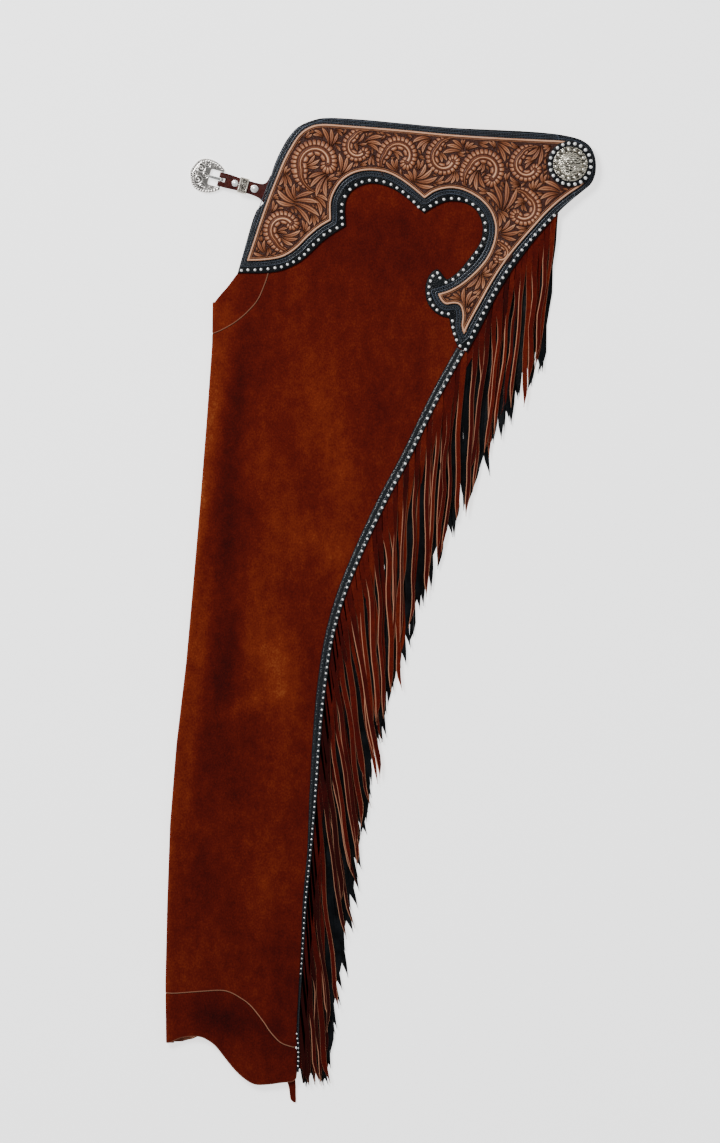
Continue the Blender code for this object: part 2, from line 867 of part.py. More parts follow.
def build_welt(black):
    seam = open_line(SEAM_LINE, EDGE_STEP / 8)
    seam = seam[seam[:, 1] < WELT_START]
    seam = np.concatenate([seam[:-1:8], seam[-1:]])
    left_widths = [table_value(WELT_WIDTHS, y, 1) for y in seam[:, 1]]
    right_widths = [table_value(WELT_WIDTHS, y, 2) for y in seam[:, 1]]
    left = shifted_line(seam, -np.array(left_widths))
    right = shifted_line(seam, np.array(right_widths))
    outline = np.concatenate([left, right[::-1]])
    flat_sheet("seam_welt", outline, [], YOKE_BOTTOM, YOKE_BOTTOM + WELT_LEATHER, black)


def seam_samples():
    """Points one millimetre apart along the outer seam, and its direction to the right."""
    dense = open_line(SEAM_LINE, 2.0)
    lengths = np.concatenate([[0], np.cumsum(np.linalg.norm(np.diff(dense, axis=0), axis=1))])
    marks = np.arange(0, lengths[-1], 1.0)
    points = np.stack([np.interp(marks, lengths, dense[:, axis]) for axis in (0, 1)], axis=1)
    along = np.gradient(points, axis=0)
    padded = np.pad(along, ((10, 10), (0, 0)), "edge")
    even = np.ones(21) / 21
    along = np.stack([np.convolve(padded[:, axis], even, "valid") for axis in (0, 1)], axis=1)
    along /= np.linalg.norm(along, axis=1, keepdims=True)
    right = np.stack([-along[:, 1], along[:, 0]], axis=1)
    return marks, points, right


def fringe_wave(mark, distance):
    """Sideways drift of the strands, shared by neighbours so that none cross."""
    sway = 1.8 * math.sin(mark / 64 + 0.7) + 1.1 * math.sin(mark / 23 + 2.1)
    if distance < WAVE_END:
        return sway * math.sin(math.pi * distance / WAVE_END) * 0.8
    return -0.012 * sway * (distance - WAVE_END)


def build_fringe(name, material, phase, root_bottom, root_top, is_upper, extra_length, bends, seed):
    """A heading strip along the seam, with strands that run on from the far side of its cells."""
    chance = random.Random(seed)
    marks, seam, right = seam_samples()
    total = marks[-1]

    def at(values, mark):
        return np.array([np.interp(mark, marks, values[:, axis]) for axis in (0, 1)])

    def outer(mark):
        return at(seam, mark) + table_value(HEADING_WIDTHS, mark) * at(right, mark)

    def way(mark):
        lean = math.radians(table_value(STRAND_LEANS, outer(mark)[1]))
        return np.array([math.sin(lean), -math.cos(lean)])

    def centre(mark, distance):
        direction = way(mark)
        side = np.array([-direction[1], direction[0]])
        return outer(mark) + direction * distance + side * fringe_wave(mark, distance)

    def spacing(mark, distance):
        direction = way(mark)
        side = np.array([-direction[1], direction[0]])
        here = centre(mark, distance)
        beside = [centre(mark + step, distance) for step in (-STRAND_PITCH, STRAND_PITCH)]
        return min(abs((place - here) @ side) for place in beside)

    def levels(distance, height):
        """Bottom and top of a strand: at the heading's level first, then settled on the floor."""
        share = smooth_step(distance / SETTLED)
        low = FRINGE_BASE + (height + STRAND_GAP if is_upper else 0)
        return root_bottom + (low - root_bottom) * share, root_top + (low + height - root_top) * share

    roots = np.arange(FIRST_ROOT + phase * STRAND_PITCH, total - 5.0, STRAND_PITCH)
    strands = []
    for mark in roots:
        edge = outer(mark + 1) - outer(mark - 1)
        edge /= np.linalg.norm(edge)
        direction = way(mark)
        skew = abs(edge[0] * direction[1] - edge[1] * direction[0])
        root_y = outer(mark)[1]
        length = table_value(STRAND_LENGTHS, root_y) + extra_length + chance.uniform(-9, 9)
        length = min(length, (root_y - FRINGE_TRIM) / math.cos(math.radians(9)) + chance.uniform(-4, 1))
        width = min(spacing(mark, 0) - STRAND_GAP, STRAND_WIDEST)
        height = table_value(STRAND_HEIGHTS, root_y)
        stops = [stop for stop in bends if stop < length - 6] + [max(length, 8.0)]
        sections = []
        for stop in stops:
            reach = min(width, spacing(mark, stop) - STRAND_GAP)
            if stop == stops[-1]:
                reach *= STRAND_TAPER
            middle = centre(mark, stop)
            half = edge * reach / skew / 2
            low, high = levels(stop, height)
            sections.append((middle - half, middle + half, low, high))
        half_root = width / skew / 2
        strands.append((mark - half_root, mark + half_root, sections))

    points = []
    faces = []
    cuts = [(0.0, None)]
    for start, end, sections in strands:
        cuts += [(start, sections), (end, None)]
    cuts.append((total, None))
    for mark, _ in cuts:
        inner_point = at(seam, mark)
        outer_point = outer(mark)
        for place in (inner_point, outer_point):
            points += [(*place, root_bottom), (*place, root_top)]
    for index, (mark, sections) in enumerate(cuts[:-1]):
        here = 4 * index
        after = here + 4
        faces.append([here, here + 1, after + 1, after])
        faces.append([here + 1, here + 3, after + 3, after + 1])
        faces.append([here, after, after + 2, here + 2])
        if sections is None:
            faces.append([here + 2, after + 2, after + 3, here + 3])
            continue
        ring = [here + 2, here + 3, after + 3, after + 2]
        for first, second, low, high in sections:
            start = len(points)
            points += [(*first, low), (*first, high), (*second, high), (*second, low)]
            new_ring = [start, start + 1, start + 2, start + 3]
            for side in range(4):
                following = (side + 1) % 4
                faces.append([ring[side], ring[following], new_ring[following], new_ring[side]])
            ring = new_ring
        faces.append(ring)
    faces.append([0, 1, 3, 2])
    last = 4 * (len(cuts) - 1)
    faces.append([last, last + 1, last + 3, last + 2])
    return new_solid(name, points, faces, material)


def strap_middle_height(behind):
    """Height of the upper ply's middle, at a distance behind the bar."""
    return BAR_HEIGHT + LOOP_RADIUS + (ROOT_HEIGHT - BAR_HEIGHT - LOOP_RADIUS) * behind / STRAP_ROOT


def build_strap(brown):
    """One strip from the yoke over the bar, round it and back underneath, with a slot for the tongue."""
    stations = []
    edges = sorted(STRAP_EDGES)
    for behind in STRAP_STATIONS:
        low = table_value(edges, behind, 1)
        high = table_value(edges, behind, 2)
        stations.append((-behind, strap_middle_height(behind), 0.0, low, high, behind < SLOT_TOP_END))
    turns = 8
    for turn in range(1, turns):
        angle = math.pi * turn / turns
        along = LOOP_RADIUS * math.sin(angle)
        height = BAR_HEIGHT + LOOP_RADIUS * math.cos(angle)
        stations.append((along, height, angle, -LOOP_HALF_WIDTH, LOOP_HALF_WIDTH, True))
    under_bar = BAR_HEIGHT - LOOP_RADIUS
    stations.append((0, under_bar, math.pi, -LOOP_HALF_WIDTH, LOOP_HALF_WIDTH, True))
    meeting = strap_middle_height(PLIES_MEET) - PLY_DROP
    for behind, half in RETURN_ROWS:
        height = strap_middle_height(behind) - PLY_DROP
        if behind < PLIES_MEET:
            height = under_bar + (meeting - under_bar) * (behind / PLIES_MEET) ** 1.3
        stations.append((-behind, height, math.pi, -half, half, False))
    points = []
    for along, height, angle, low, high, _ in stations:
        for across in (low, -SLOT_HALF_WIDTH, SLOT_HALF_WIDTH, high):
            for side in (1, -1):
                shift = side * STRAP_LEATHER / 2
                place = strap_place(along + shift * math.sin(angle), across)
                points.append((*place, height + shift * math.cos(angle)))

    def corner(station, column, side):
        return station * 8 + column * 2 + side

    faces = []
    last = len(stations) - 1
    kept = {}
    for station in range(last):
        for column in range(3):
            open_here = column == 1 and (stations[station][5] or stations[station + 1][5])
            kept[station, column] = not open_here
    for (station, column), is_kept in kept.items():
        if not is_kept:
            continue
        following = station + 1
        for side in (0, 1):
            faces.append(
                [
                    corner(station, column, side),
                    corner(station, column + 1, side),
                    corner(following, column + 1, side),
                    corner(following, column, side),
                ]
            )
        borders = [
            ((station, column - 1), (station, column), (following, column)),
            ((station, column + 1), (station, column + 1), (following, column + 1)),
            ((station - 1, column), (station, column), (station, column + 1)),
            ((station + 1, column), (following, column), (following, column + 1)),
        ]
        for neighbour, first, second in borders:
            if kept.get(neighbour):
                continue
            faces.append(
                [corner(*first, 0), corner(*second, 0), corner(*second, 1), corner(*first, 1)]
            )
    return new_solid("front_strap", points, faces, brown)


def build_keeper(silver):
    """The metal loop round the strap's two plies, with a raised rim at each end."""
    ceiling = STRAP_LEATHER / 2 + GAP
    floor = -STRAP_LEATHER / 2 - PLY_DROP - GAP
    inner = [(KEEPER_LOW, floor), (KEEPER_HIGH, floor), (KEEPER_HIGH, ceiling), (KEEPER_LOW, ceiling)]

    def outer(wall):
        left = KEEPER_LOW - KEEPER_SIDE_WALL
        right = KEEPER_HIGH + KEEPER_SIDE_WALL
        under = floor - KEEPER_UNDER_WALL
        over = ceiling + wall
        return [
            (left + KEEPER_CORNER, under),
            (right - KEEPER_CORNER, under),
            (right, under + KEEPER_CORNER),
            (right, over - KEEPER_CORNER),
            (right - KEEPER_CORNER, over),
            (left + KEEPER_CORNER, over),
            (left, over - KEEPER_CORNER),
            (left, under + KEEPER_CORNER),
        ]

    def place_all(section, behind):
        middle = strap_middle_height(behind)
        return [(*strap_place(-behind, across), middle + height) for across, height in section]

    points = []
    for behind, wall in KEEPER_TOP_WALLS:
        points += place_all(outer(wall), behind)
    inner_start = len(points)
    for behind, _ in (KEEPER_TOP_WALLS[0], KEEPER_TOP_WALLS[-1]):
        points += place_all(inner, behind)
    faces = []
    for stop in range(len(KEEPER_TOP_WALLS) - 1):
        for side in range(8):
            following = (side + 1) % 8
            first = stop * 8
            faces.append([first + side, first + following, first + 8 + following, first + 8 + side])
    for side in range(4):
        following = (side + 1) % 4
        first = inner_start
        faces.append([first + side, first + following, first + 4 + following, first + 4 + side])
    for end, outer_start in ((0, 0), (1, (len(KEEPER_TOP_WALLS) - 1) * 8)):
        ring = [outer_start + side for side in range(8)]
        hole = [inner_start + 4 * end + side for side in range(4)]
        for side in range(4):
            following = (side + 1) % 4
            faces.append([hole[side], ring[2 * side], ring[2 * side + 1]])
            faces.append([hole[side], ring[2 * side + 1], hole[following]])
            faces.append([hole[following], ring[2 * side + 1], ring[(2 * side + 2) % 8]])
    return new_solid("strap_keeper", points, faces, silver)


def build_snaps(silver):
    for name, behind, across, radius in SNAPS:
        foot = STRAP_LEATHER / 2 + GAP
        profile = [
            (radius, foot),
            (radius, foot + 0.5),
            (radius * 0.86, foot + 1.1),
            (radius * 0.5, foot + SNAP_HEIGHT),
        ]

        def place(along, sideways, height, behind=behind, across=across):
            here = behind - along
            return (*strap_place(-here, across + sideways), strap_middle_height(here) + height)

        turned(name, profile, 14, place, silver)


def buckle_top(along, across):
    """Height of the buckle's face, highest in the middle of its broad end."""
    middle, half_length, half_width, rise = BUCKLE_CROWN
    crown = 1 - ((along - middle) / half_length) ** 2 - (across / half_width) ** 2
    return BUCKLE_EDGE_TOP + rise * max(crown, 0)


def buckle_bottom(along):
    """Height of its back: flat on the floor, and lifted round the bar so that it can turn."""
    return BUCKLE_BOTTOM + BUCKLE_HEEL_LIFT * smooth_step((3.2 - along) / 4.8)


def put_origin_on_bar(solid):
    """Moves the object's origin to the middle of the bar that it turns about."""
    middle = Vector((BAR_CENTRE[0] - MIDDLE_X, BAR_CENTRE[1], BAR_HEIGHT)) * MM
    solid.data.transform(Matrix.Translation(-middle))
    solid.location = middle


def build_buckle(silver):
    side = [np.array(row, float) for row in BUCKLE_SIDE]
    half = list(curve_through(side, 3.5))
    half.append(np.array((BUCKLE_LENGTH, 0.0)))
    mirrored = [np.array((point[0], -point[1])) for point in half[-2::-1]]
    window = [
        (BUCKLE_HEEL, -WINDOW_HALF),
        (WINDOW_FAR - WINDOW_CORNER, -WINDOW_HALF),
        (WINDOW_FAR, -WINDOW_HALF + WINDOW_CORNER),
        (WINDOW_FAR, 0.0),
        (WINDOW_FAR, WINDOW_HALF - WINDOW_CORNER),
        (WINDOW_FAR - WINDOW_CORNER, WINDOW_HALF),
        (BUCKLE_HEEL, WINDOW_HALF),
    ]
    outline = np.array([*half, *mirrored, *window])
    inner = [(along, across) for along in (18.5, 24, 29) for across in (-11, -5.5, 0, 5.5, 11)]
    inner += [(along, across) for along in (3, 9) for across in (-11.2, 11.2)]
    frame = sheet(
        "buckle_frame",
        outline,
        [point for point in inner if is_inside(point, outline)],
        lambda along, across: (*strap_place(along, across), buckle_top(along, across)),
        lambda along, across: (*strap_place(along, across), buckle_bottom(along)),
        silver,
    )

    def place_bar(x, y, z):
        return (*strap_place(x, z), BAR_HEIGHT + y)

    bar_half = WINDOW_HALF + 0.9
    profile = [(BAR_RADIUS, -bar_half), (BAR_RADIUS, bar_half)]
    bar = turned("buckle_bar", profile, 10, place_bar, silver)
    merge_into(frame, bar)
    put_origin_on_bar(frame)


def build_tongue(silver):
    """A pointed tongue with an eye round the bar, resting on the buckle's broad end."""
    sides = 16
    hole = BAR_RADIUS + GAP
    points = []
    for across in (-EYE_HALF_WIDTH, EYE_HALF_WIDTH):
        for radius in (hole, EYE_RADIUS):
            for side in range(sides):
                angle = math.tau * side / sides
                place = strap_place(radius * math.cos(angle), across)
                points.append((*place, BAR_HEIGHT + radius * math.sin(angle)))
    faces = []
    for side in range(sides):
        following = (side + 1) % sides
        for ring, other in ((0, 2 * sides), (sides, 3 * sides), (0, sides), (2 * sides, 3 * sides)):
            faces.append([ring + side, ring + following, other + following, other + side])
    eye = new_solid("buckle_tongue", points, faces, silver)

    points = []
    for along, half, low, high in TONGUE_ROWS:
        shoulder = high - (high - low) * 0.35
        right_side = [(half, low), (half, shoulder), (half / 2, high)]
        left_side = [(-across, height) for across, height in reversed(right_side)]
        points += [(*strap_place(along, across), height) for across, height in right_side + left_side]
    faces = [list(range(6)), [len(points) - 6 + side for side in range(6)]]
    for row in range(len(TONGUE_ROWS) - 1):
        for side in range(6):
            following = (side + 1) % 6
            first = row * 6
            faces.append([first + side, first + following, first + 6 + following, first + 6 + side])
    arm = new_solid("tongue_arm", points, faces, silver)
    merge_into(eye, arm)
    put_origin_on_bar(eye)


def build_concho(black, silver):
    def place(x, y, z):
        return (CONCHO_CENTRE[0] + x, CONCHO_CENTRE[1] + y, z)

    def scalloped(radius, angle):
        return radius - ROSETTE_DIP * (1 - abs(math.cos(angle * ROSETTE_SCALLOPS / 2)))

    foot = TOOLED_TOP + GAP
    profile = [(ROSETTE_RADIUS, foot), (ROSETTE_RADIUS, foot + ROSETTE_THICK)]
    turned("concho_rosette", profile, ROSETTE_SCALLOPS * 3, place, black, scalloped)
    low = CONCHO_BOTTOM
    profile = [
        (CONCHO_RADIUS - 0.5, low),
        (CONCHO_RADIUS, low + 0.7),
        (CONCHO_RADIUS - 2.2, low + 1.9),
        (CONCHO_INNER, low + 1.3),
        (CONCHO_INNER - 0.8, low + 2.1),
        (9.0, low + 3.4),
        (4.0, low + 4.0),
    ]
    turned("concho", profile, 28, place, silver)


def build_thong(suede):
    points = []
    for y, left, right, low in THONG:
        high = low + THONG_THICK
        points += [(left, y, low), (right, y, low), (right, y, high), (left, y, high)]
    faces = [[0, 1, 2, 3], [len(points) - 4 + side for side in range(4)]]
    for row in range(len(THONG) - 1):
        for side in range(4):
            following = (side + 1) % 4
            first = row * 4
            faces.append([first + side, first + following, first + 4 + following, first + 4 + side])
    return new_solid("hem_thong", points, faces, suede)


def main():
    for existing in list(bpy.data.objects):
        bpy.data.objects.remove(existing)
    suede = new_material("suede", (0.13, 0.028, 0.010), 0.95)
    black = new_material("black_leather", (0.012, 0.014, 0.017), 0.45)
    tooled = new_material("tooled_leather", (0.30, 0.12, 0.055), 0.5)
    brown = new_material("strap_leather", (0.08, 0.018, 0.010), 0.5)
    silver = new_material("silver", (0.75, 0.74, 0.70), 0.25, 1.0)
    build_hidden_layers(suede)
    build_leg(suede)
    build_yoke(black, tooled)
    build_welt(black)
    build_fringe("fringe_brown", suede, 0.5, 7.0, LEG_TOP, True, 0.0, (SETTLED, WAVE_END), 11)
    build_fringe("fringe_black", black, 0.0, 5.3, 6.7, False, 5.0, (SETTLED,), 12)
    build_strap(brown)
    build_keeper(silver)
    build_snaps(silver)
    build_buckle(silver)
    build_tongue(silver)
    build_concho(black, silver)
    build_thong(suede)


main()
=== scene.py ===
# %% [markdown]
# # Western show chaps, folded flat
#
# This lesson dresses a finished frame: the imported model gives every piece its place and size, and
# the cells below give each one the surface that a saddler would recognise. The chaps lie on a
# table, folded in two, and we look straight down at the outer side of one leg. There is napped
# suede, black border leather, a carved overlay, silver spots, cut fringe and an engraved buckle.
#
# Lengths below are in millimetres, because that is how a pattern is drawn. They become metres in
# one place only, where a mesh is made.

# %% Load the frame
import math
import random
from types import SimpleNamespace

import bpy
import numpy as np
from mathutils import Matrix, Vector
from mathutils.geometry import delaunay_2d_cdt


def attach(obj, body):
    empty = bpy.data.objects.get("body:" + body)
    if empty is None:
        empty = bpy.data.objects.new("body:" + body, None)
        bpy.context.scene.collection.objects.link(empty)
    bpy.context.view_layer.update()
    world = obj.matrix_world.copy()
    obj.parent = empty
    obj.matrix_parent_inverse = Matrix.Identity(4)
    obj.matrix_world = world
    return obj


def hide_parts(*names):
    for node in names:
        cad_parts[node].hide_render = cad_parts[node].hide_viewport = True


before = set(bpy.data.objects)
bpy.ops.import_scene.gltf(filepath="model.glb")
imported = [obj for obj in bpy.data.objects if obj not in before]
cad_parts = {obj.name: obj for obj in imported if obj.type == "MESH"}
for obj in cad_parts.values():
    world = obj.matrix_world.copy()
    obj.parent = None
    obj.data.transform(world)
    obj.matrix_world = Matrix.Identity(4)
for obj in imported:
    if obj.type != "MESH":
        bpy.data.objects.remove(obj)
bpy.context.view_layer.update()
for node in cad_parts.values():
    node.select_set(False)

# %% [markdown]
# ## Camera, table and light
#
# A garment laid flat is photographed from straight above. A long lens from far away keeps the
# near and the far end of a metre of leather at the same scale, so the outline isn't pulled out
# of shape. The table is a pale sheet, and the light is one large soft source from the upper left
# with a weak one opposite, which is enough to model the tooling and leave soft shadows.

# %% Camera
MM = 0.001
PIXEL = 1.1 * MM
IMAGE_HEIGHT = 1143
VIEW_CENTRE = Vector((-22.75 * MM, 42.6 * MM, 0.0))
CAMERA_HEIGHT = 8.0
FACE_HEIGHT = 0.009

bpy.ops.object.camera_add(location=VIEW_CENTRE + Vector((0, 0, CAMERA_HEIGHT)), rotation=(0, 0, 0))
camera = bpy.context.object
camera.name = "camera"
camera.data.sensor_width = 36.0
view_length = IMAGE_HEIGHT * PIXEL
camera.data.lens = camera.data.sensor_width * (CAMERA_HEIGHT - FACE_HEIGHT) / view_length
camera.data.clip_end = 100
bpy.context.scene.camera = camera
print("lens:", round(camera.data.lens, 1), "mm")


# %% Materials start here
def new_material(name, colour, roughness, metallic=0.0):
    """A material with a Principled shader, and the shader itself."""
    material = bpy.data.materials.new(name)
    material.use_nodes = True
    shader = material.node_tree.nodes["Principled BSDF"]
    shader.inputs["Base Color"].default_value = (*colour, 1)
    shader.inputs["Roughness"].default_value = roughness
    shader.inputs["Metallic"].default_value = metallic
    return material, shader


# %% Table
bpy.ops.mesh.primitive_plane_add(size=30, location=(0, 0, -0.0004))
table = bpy.context.object
table.name = "table"
table_paint, shader = new_material("table_paint", (0.93, 0.93, 0.93), 0.9)
shader.inputs["Emission Color"].default_value = (1, 1, 1, 1)
shader.inputs["Emission Strength"].default_value = 1.5
table.data.materials.append(table_paint)

# %% Light
world = bpy.data.worlds.new("studio")
bpy.context.scene.world = world
world.use_nodes = True
world.node_tree.nodes["Background"].inputs["Color"].default_value = (0.96, 0.98, 1.0, 1)
world.node_tree.nodes["Background"].inputs["Strength"].default_value = 0.42


def soft_light(name, place, size, power):
    """A square area light that faces the middle of the chaps."""
    bpy.ops.object.light_add(type="AREA", location=place)
    light = bpy.context.object
    light.name = name
    light.data.size = size
    light.data.energy = power
    light.rotation_euler = (-Vector(place)).to_track_quat("-Z", "Y").to_euler()


soft_light("key_light", (-1.6, 1.9, 2.6), 1.2, 145)
soft_light("fill_light", (2.2, -1.2, 2.4), 2.0, 10)

# %% [markdown]
# ## Pattern lines
#
# Every edge of the chaps starts as a line on a paper pattern. A line is drawn here as a short
# list of places, with its corners marked, and a smooth curve is run through it. That keeps the
# pattern readable, and one function serves the suede, the border and the carving.

# %% Smooth lines through pattern points
# The pattern is drawn from a line a little right of the footprint's middle
MIDDLE_X = -13.55


def curve_through(points, step):
    """Points about one step apart on a smooth curve through the given points, both ends kept."""
    ends = [2 * points[0] - points[1], *points, 2 * points[-1] - points[-2]]
    curve = []
    for before, start, end, after in zip(ends, ends[1:], ends[2:], ends[3:]):
        count = max(1, round(np.linalg.norm(end - start) / step))
        for part in np.arange(count) / count:
            square = part * part
            cube = square * part
            curve.append(
                (2 * cube - 3 * square + 1) * start
                + (cube - 2 * square + part) * (end - before) / 2
                + (3 * square - 2 * cube) * end
                + (cube - square) * (after - start) / 2
            )
    curve.append(points[-1])
    return np.array(curve)


def open_line(rows, step):
    """A smooth line through x, y rows. A third column marks corners."""
    runs = [[np.array(rows[0][:2], float)]]
    for row in rows[1:]:
        runs[-1].append(np.array(row[:2], float))
        if len(row) > 2 and row[2] and row is not rows[-1]:
            runs.append([np.array(row[:2], float)])
    lines = [curve_through(run, step) for run in runs]
    return np.concatenate([line if line is lines[-1] else line[:-1] for line in lines])


def closed_line(rows, step):
    """The same, back to the first row, which is a corner."""
    return open_line([*rows, (*rows[0][:2], True)], step)[:-1]


def directions(line, closed=False):
    """The unit direction at each point of a line, and how much a corner stretches an offset."""
    if closed:
        back = line - np.roll(line, 1, axis=0)
        ahead = np.roll(line, -1, axis=0) - line
    else:
        steps = np.diff(line, axis=0)
        back = np.concatenate([steps[:1], steps])
        ahead = np.concatenate([steps, steps[-1:]])
    back = back / np.linalg.norm(back, axis=1, keepdims=True)
    ahead = ahead / np.linalg.norm(ahead, axis=1, keepdims=True)
    along = back + ahead
    along /= np.linalg.norm(along, axis=1, keepdims=True)
    stretch = np.maximum((along * back).sum(axis=1), 0.5)
    return along, stretch


def left_of(ahead):
    """Each direction turned a quarter turn to the left."""
    return np.stack([-ahead[:, 1], ahead[:, 0]], axis=1)


def shifted_line(line, distance, closed=False):
    """The line moved sideways to its left by a distance."""
    along, stretch = directions(line, closed)
    return line + left_of(along) * (np.broadcast_to(distance, len(line)) / stretch)[:, None]


def lengths_along(line):
    """Distance from a line's start to each of its points."""
    return np.concatenate([[0], np.cumsum(np.linalg.norm(np.diff(line, axis=0), axis=1))])


def at_lengths(marks, lengths, line):
    """The places on a line that are so far from its start."""
    return np.stack([np.interp(marks, lengths, line[:, axis]) for axis in (0, 1)], axis=-1)


def evenly(line, pitch, closed=False, start=0.0):
    """Points one pitch apart along a line, and the unit direction at each."""
    if closed:
        line = np.concatenate([line, line[:1]])
    lengths = lengths_along(line)
    count = max(1, round((lengths[-1] - start) / pitch))
    marks = start + (lengths[-1] - start) * np.arange(count + (not closed)) / count
    along = at_lengths(marks + 0.5, lengths, line) - at_lengths(marks - 0.5, lengths, line)
    return at_lengths(marks, lengths, line), along / np.linalg.norm(along, axis=1, keepdims=True)


def nearest_distance(points, line):
    """Distance from each point to the nearest point of a closely sampled line."""
    points = np.asarray(points, float)
    found = np.empty(len(points))
    for start in range(0, len(points), 2000):
        part = points[start : start + 2000]
        gaps = part[:, None, :] - line[None, :, :]
        found[start : start + 2000] = np.sqrt((gaps**2).sum(axis=2).min(axis=1))
    return found


def beside(line, distance, step=1.5):
    """A closed line moved outwards, with the loops cut away where the outline turns inwards."""
    fine, _ = evenly(line, 0.7, closed=True)
    moved, _ = evenly(shifted_line(fine, -distance, closed=True), 0.7, closed=True)
    moved = moved[nearest_distance(moved, fine) > 0.96 * abs(distance)]
    return evenly(moved, step, closed=True)[0]


def inside(points, outline):
    """True for each point that lies inside a closed outline."""
    points = np.asarray(points, float)
    result = np.zeros(len(points), bool)
    for start, end in zip(outline, np.roll(outline, -1, axis=0)):
        if start[1] == end[1]:
            continue
        crosses = (start[1] > points[:, 1]) != (end[1] > points[:, 1])
        meets = start[0] + (points[:, 1] - start[1]) / (end[1] - start[1]) * (end[0] - start[0])
        result ^= crosses & (meets > points[:, 0])
    return result


def smooth_step(value):
    value = np.clip(value, 0.0, 1.0)
    return value * value * (3 - 2 * value)


# %% Pattern of the leg
# Front fold: y, x
FOLD_LINE = [
    (-476, -249.8), (-412, -250.6), (-324, -248.6), (-236, -245.5), (-148, -238.5), (-60, -228.0),
    (28, -220.0), (116, -212.5), (204, -205.5), (292, -199.2), (339, -198.6),
]
# Outer seam from the yoke down to the hem: x, y
SEAM_LINE = [
    (179.3, 437), (148.5, 405), (116, 358), (93.5, 315), (75, 281), (48.5, 232.5), (17.5, 169),
    (-10.5, 116), (-37.5, 57.5), (-57, 7), (-69, -40), (-76.5, -93), (-81.5, -145), (-86, -209),
    (-91, -266), (-96.5, -323), (-100, -378), (-103.5, -429), (-105, -467), (-104.5, -490),
    (-105, -508),
]
# Seam of the thigh piece: x, y, and True at a corner
THIGH_SEAM = [
    (-169, 381.5, True), (-150, 381.5), (-136, 379, True), (-136.4, 372), (-140.8, 358), (-148.5, 341),
    (-160.6, 327), (-174, 316), (-188, 308), (-196.2, 304.5, True),
]
# Free front edge of the thigh piece: x, y
THIGH_EDGE = [(-171.1, 370.7), (-181.5, 356.7), (-189.2, 347.9), (-196.4, 339)]
# Seam of the hem piece, from the fold to the outer seam: x, y
HEM_SEAM = [
    (-247.4, -421.7), (-239.8, -422), (-212, -420), (-190.3, -418.8), (-179.3, -421), (-168.3, -427),
    (-157.3, -435.3), (-144, -451.8), (-135.3, -464.5), (-124.3, -476), (-113.3, -480.4),
    (-106.2, -482),
]
# Lower edge of the hem piece: x, y
HEM_EDGE = [
    (-247.4, -476.2), (-243, -474.9), (-234.3, -471), (-223.3, -469.2), (-213.4, -469.4),
    (-205.7, -472.2), (-195.8, -479.3), (-184.8, -493), (-173.8, -506.3), (-162.8, -516.2),
    (-151.8, -522), (-137.5, -522), (-122, -520), (-111, -518.9), (-106.6, -515.6), (-105.4, -508),
]
# Waist side of the yoke, from its front tip to the outer seam
YOKE_WAIST = [
    (-171.1, 370.7, True), (-163.9, 396.3), (-155.1, 427.1), (-150.2, 440, True), (-142.7, 447.9, True),
    (-134.3, 478.8, True), (-129.8, 492), (-123.2, 506.3), (-115.5, 519.5), (-104.5, 531.6),
    (-89, 538.7), (-71.5, 541.7), (-34, 539.8), (7.7, 536), (62.7, 531), (117.7, 528.3), (150.7, 526.6),
    (179.3, 523.9), (200.2, 519.8), (211.2, 515.1), (217.8, 509), (222, 499.7), (223.4, 489.8),
    (222.4, 478.8), (217.8, 468.9), (209, 461.2), (196.9, 451.3), (183.7, 439.2),
]
# Outer seam side, tip, hook and scallops of the yoke, back to its front tip
YOKE_SCALLOPS = [
    (167.2, 420.5), (150.7, 400.7), (130.9, 373.7), (113.3, 344.6), (97.9, 313.8), (85.8, 291.2),
    (81.4, 283.5, True), (71, 289.6, True), (64.9, 307.2), (61.6, 321.5, True), (53.9, 323.3),
    (45.7, 328.1), (38.5, 336.9), (35.8, 346.8), (35.8, 356.7), (38.5, 366), (44, 373.2), (49.5, 374.8),
    (54.5, 369.3), (59.4, 364), (69.3, 370.4), (78.1, 379.8), (85.8, 389.7), (93, 399.6), (97.4, 409.5),
    (98.5, 420.5), (96.3, 430.9), (90.8, 440.3), (81.4, 446.9), (70.4, 449.6), (58.3, 449.1),
    (46.2, 444.1), (34.1, 436.4, True), (23.7, 445.8), (13.2, 454.6), (2.2, 462), (-9.9, 467.2),
    (-24.2, 469.4), (-37.4, 466.1), (-46.8, 459), (-51.9, 449.1), (-52.8, 437), (-51.7, 422.7, True),
    (-60.5, 417.2), (-73.7, 408.4), (-86.9, 396.3), (-99, 385.3), (-112.2, 377.6), (-126.5, 372.6),
    (-144.1, 370.7), (-158.4, 370.7),
]
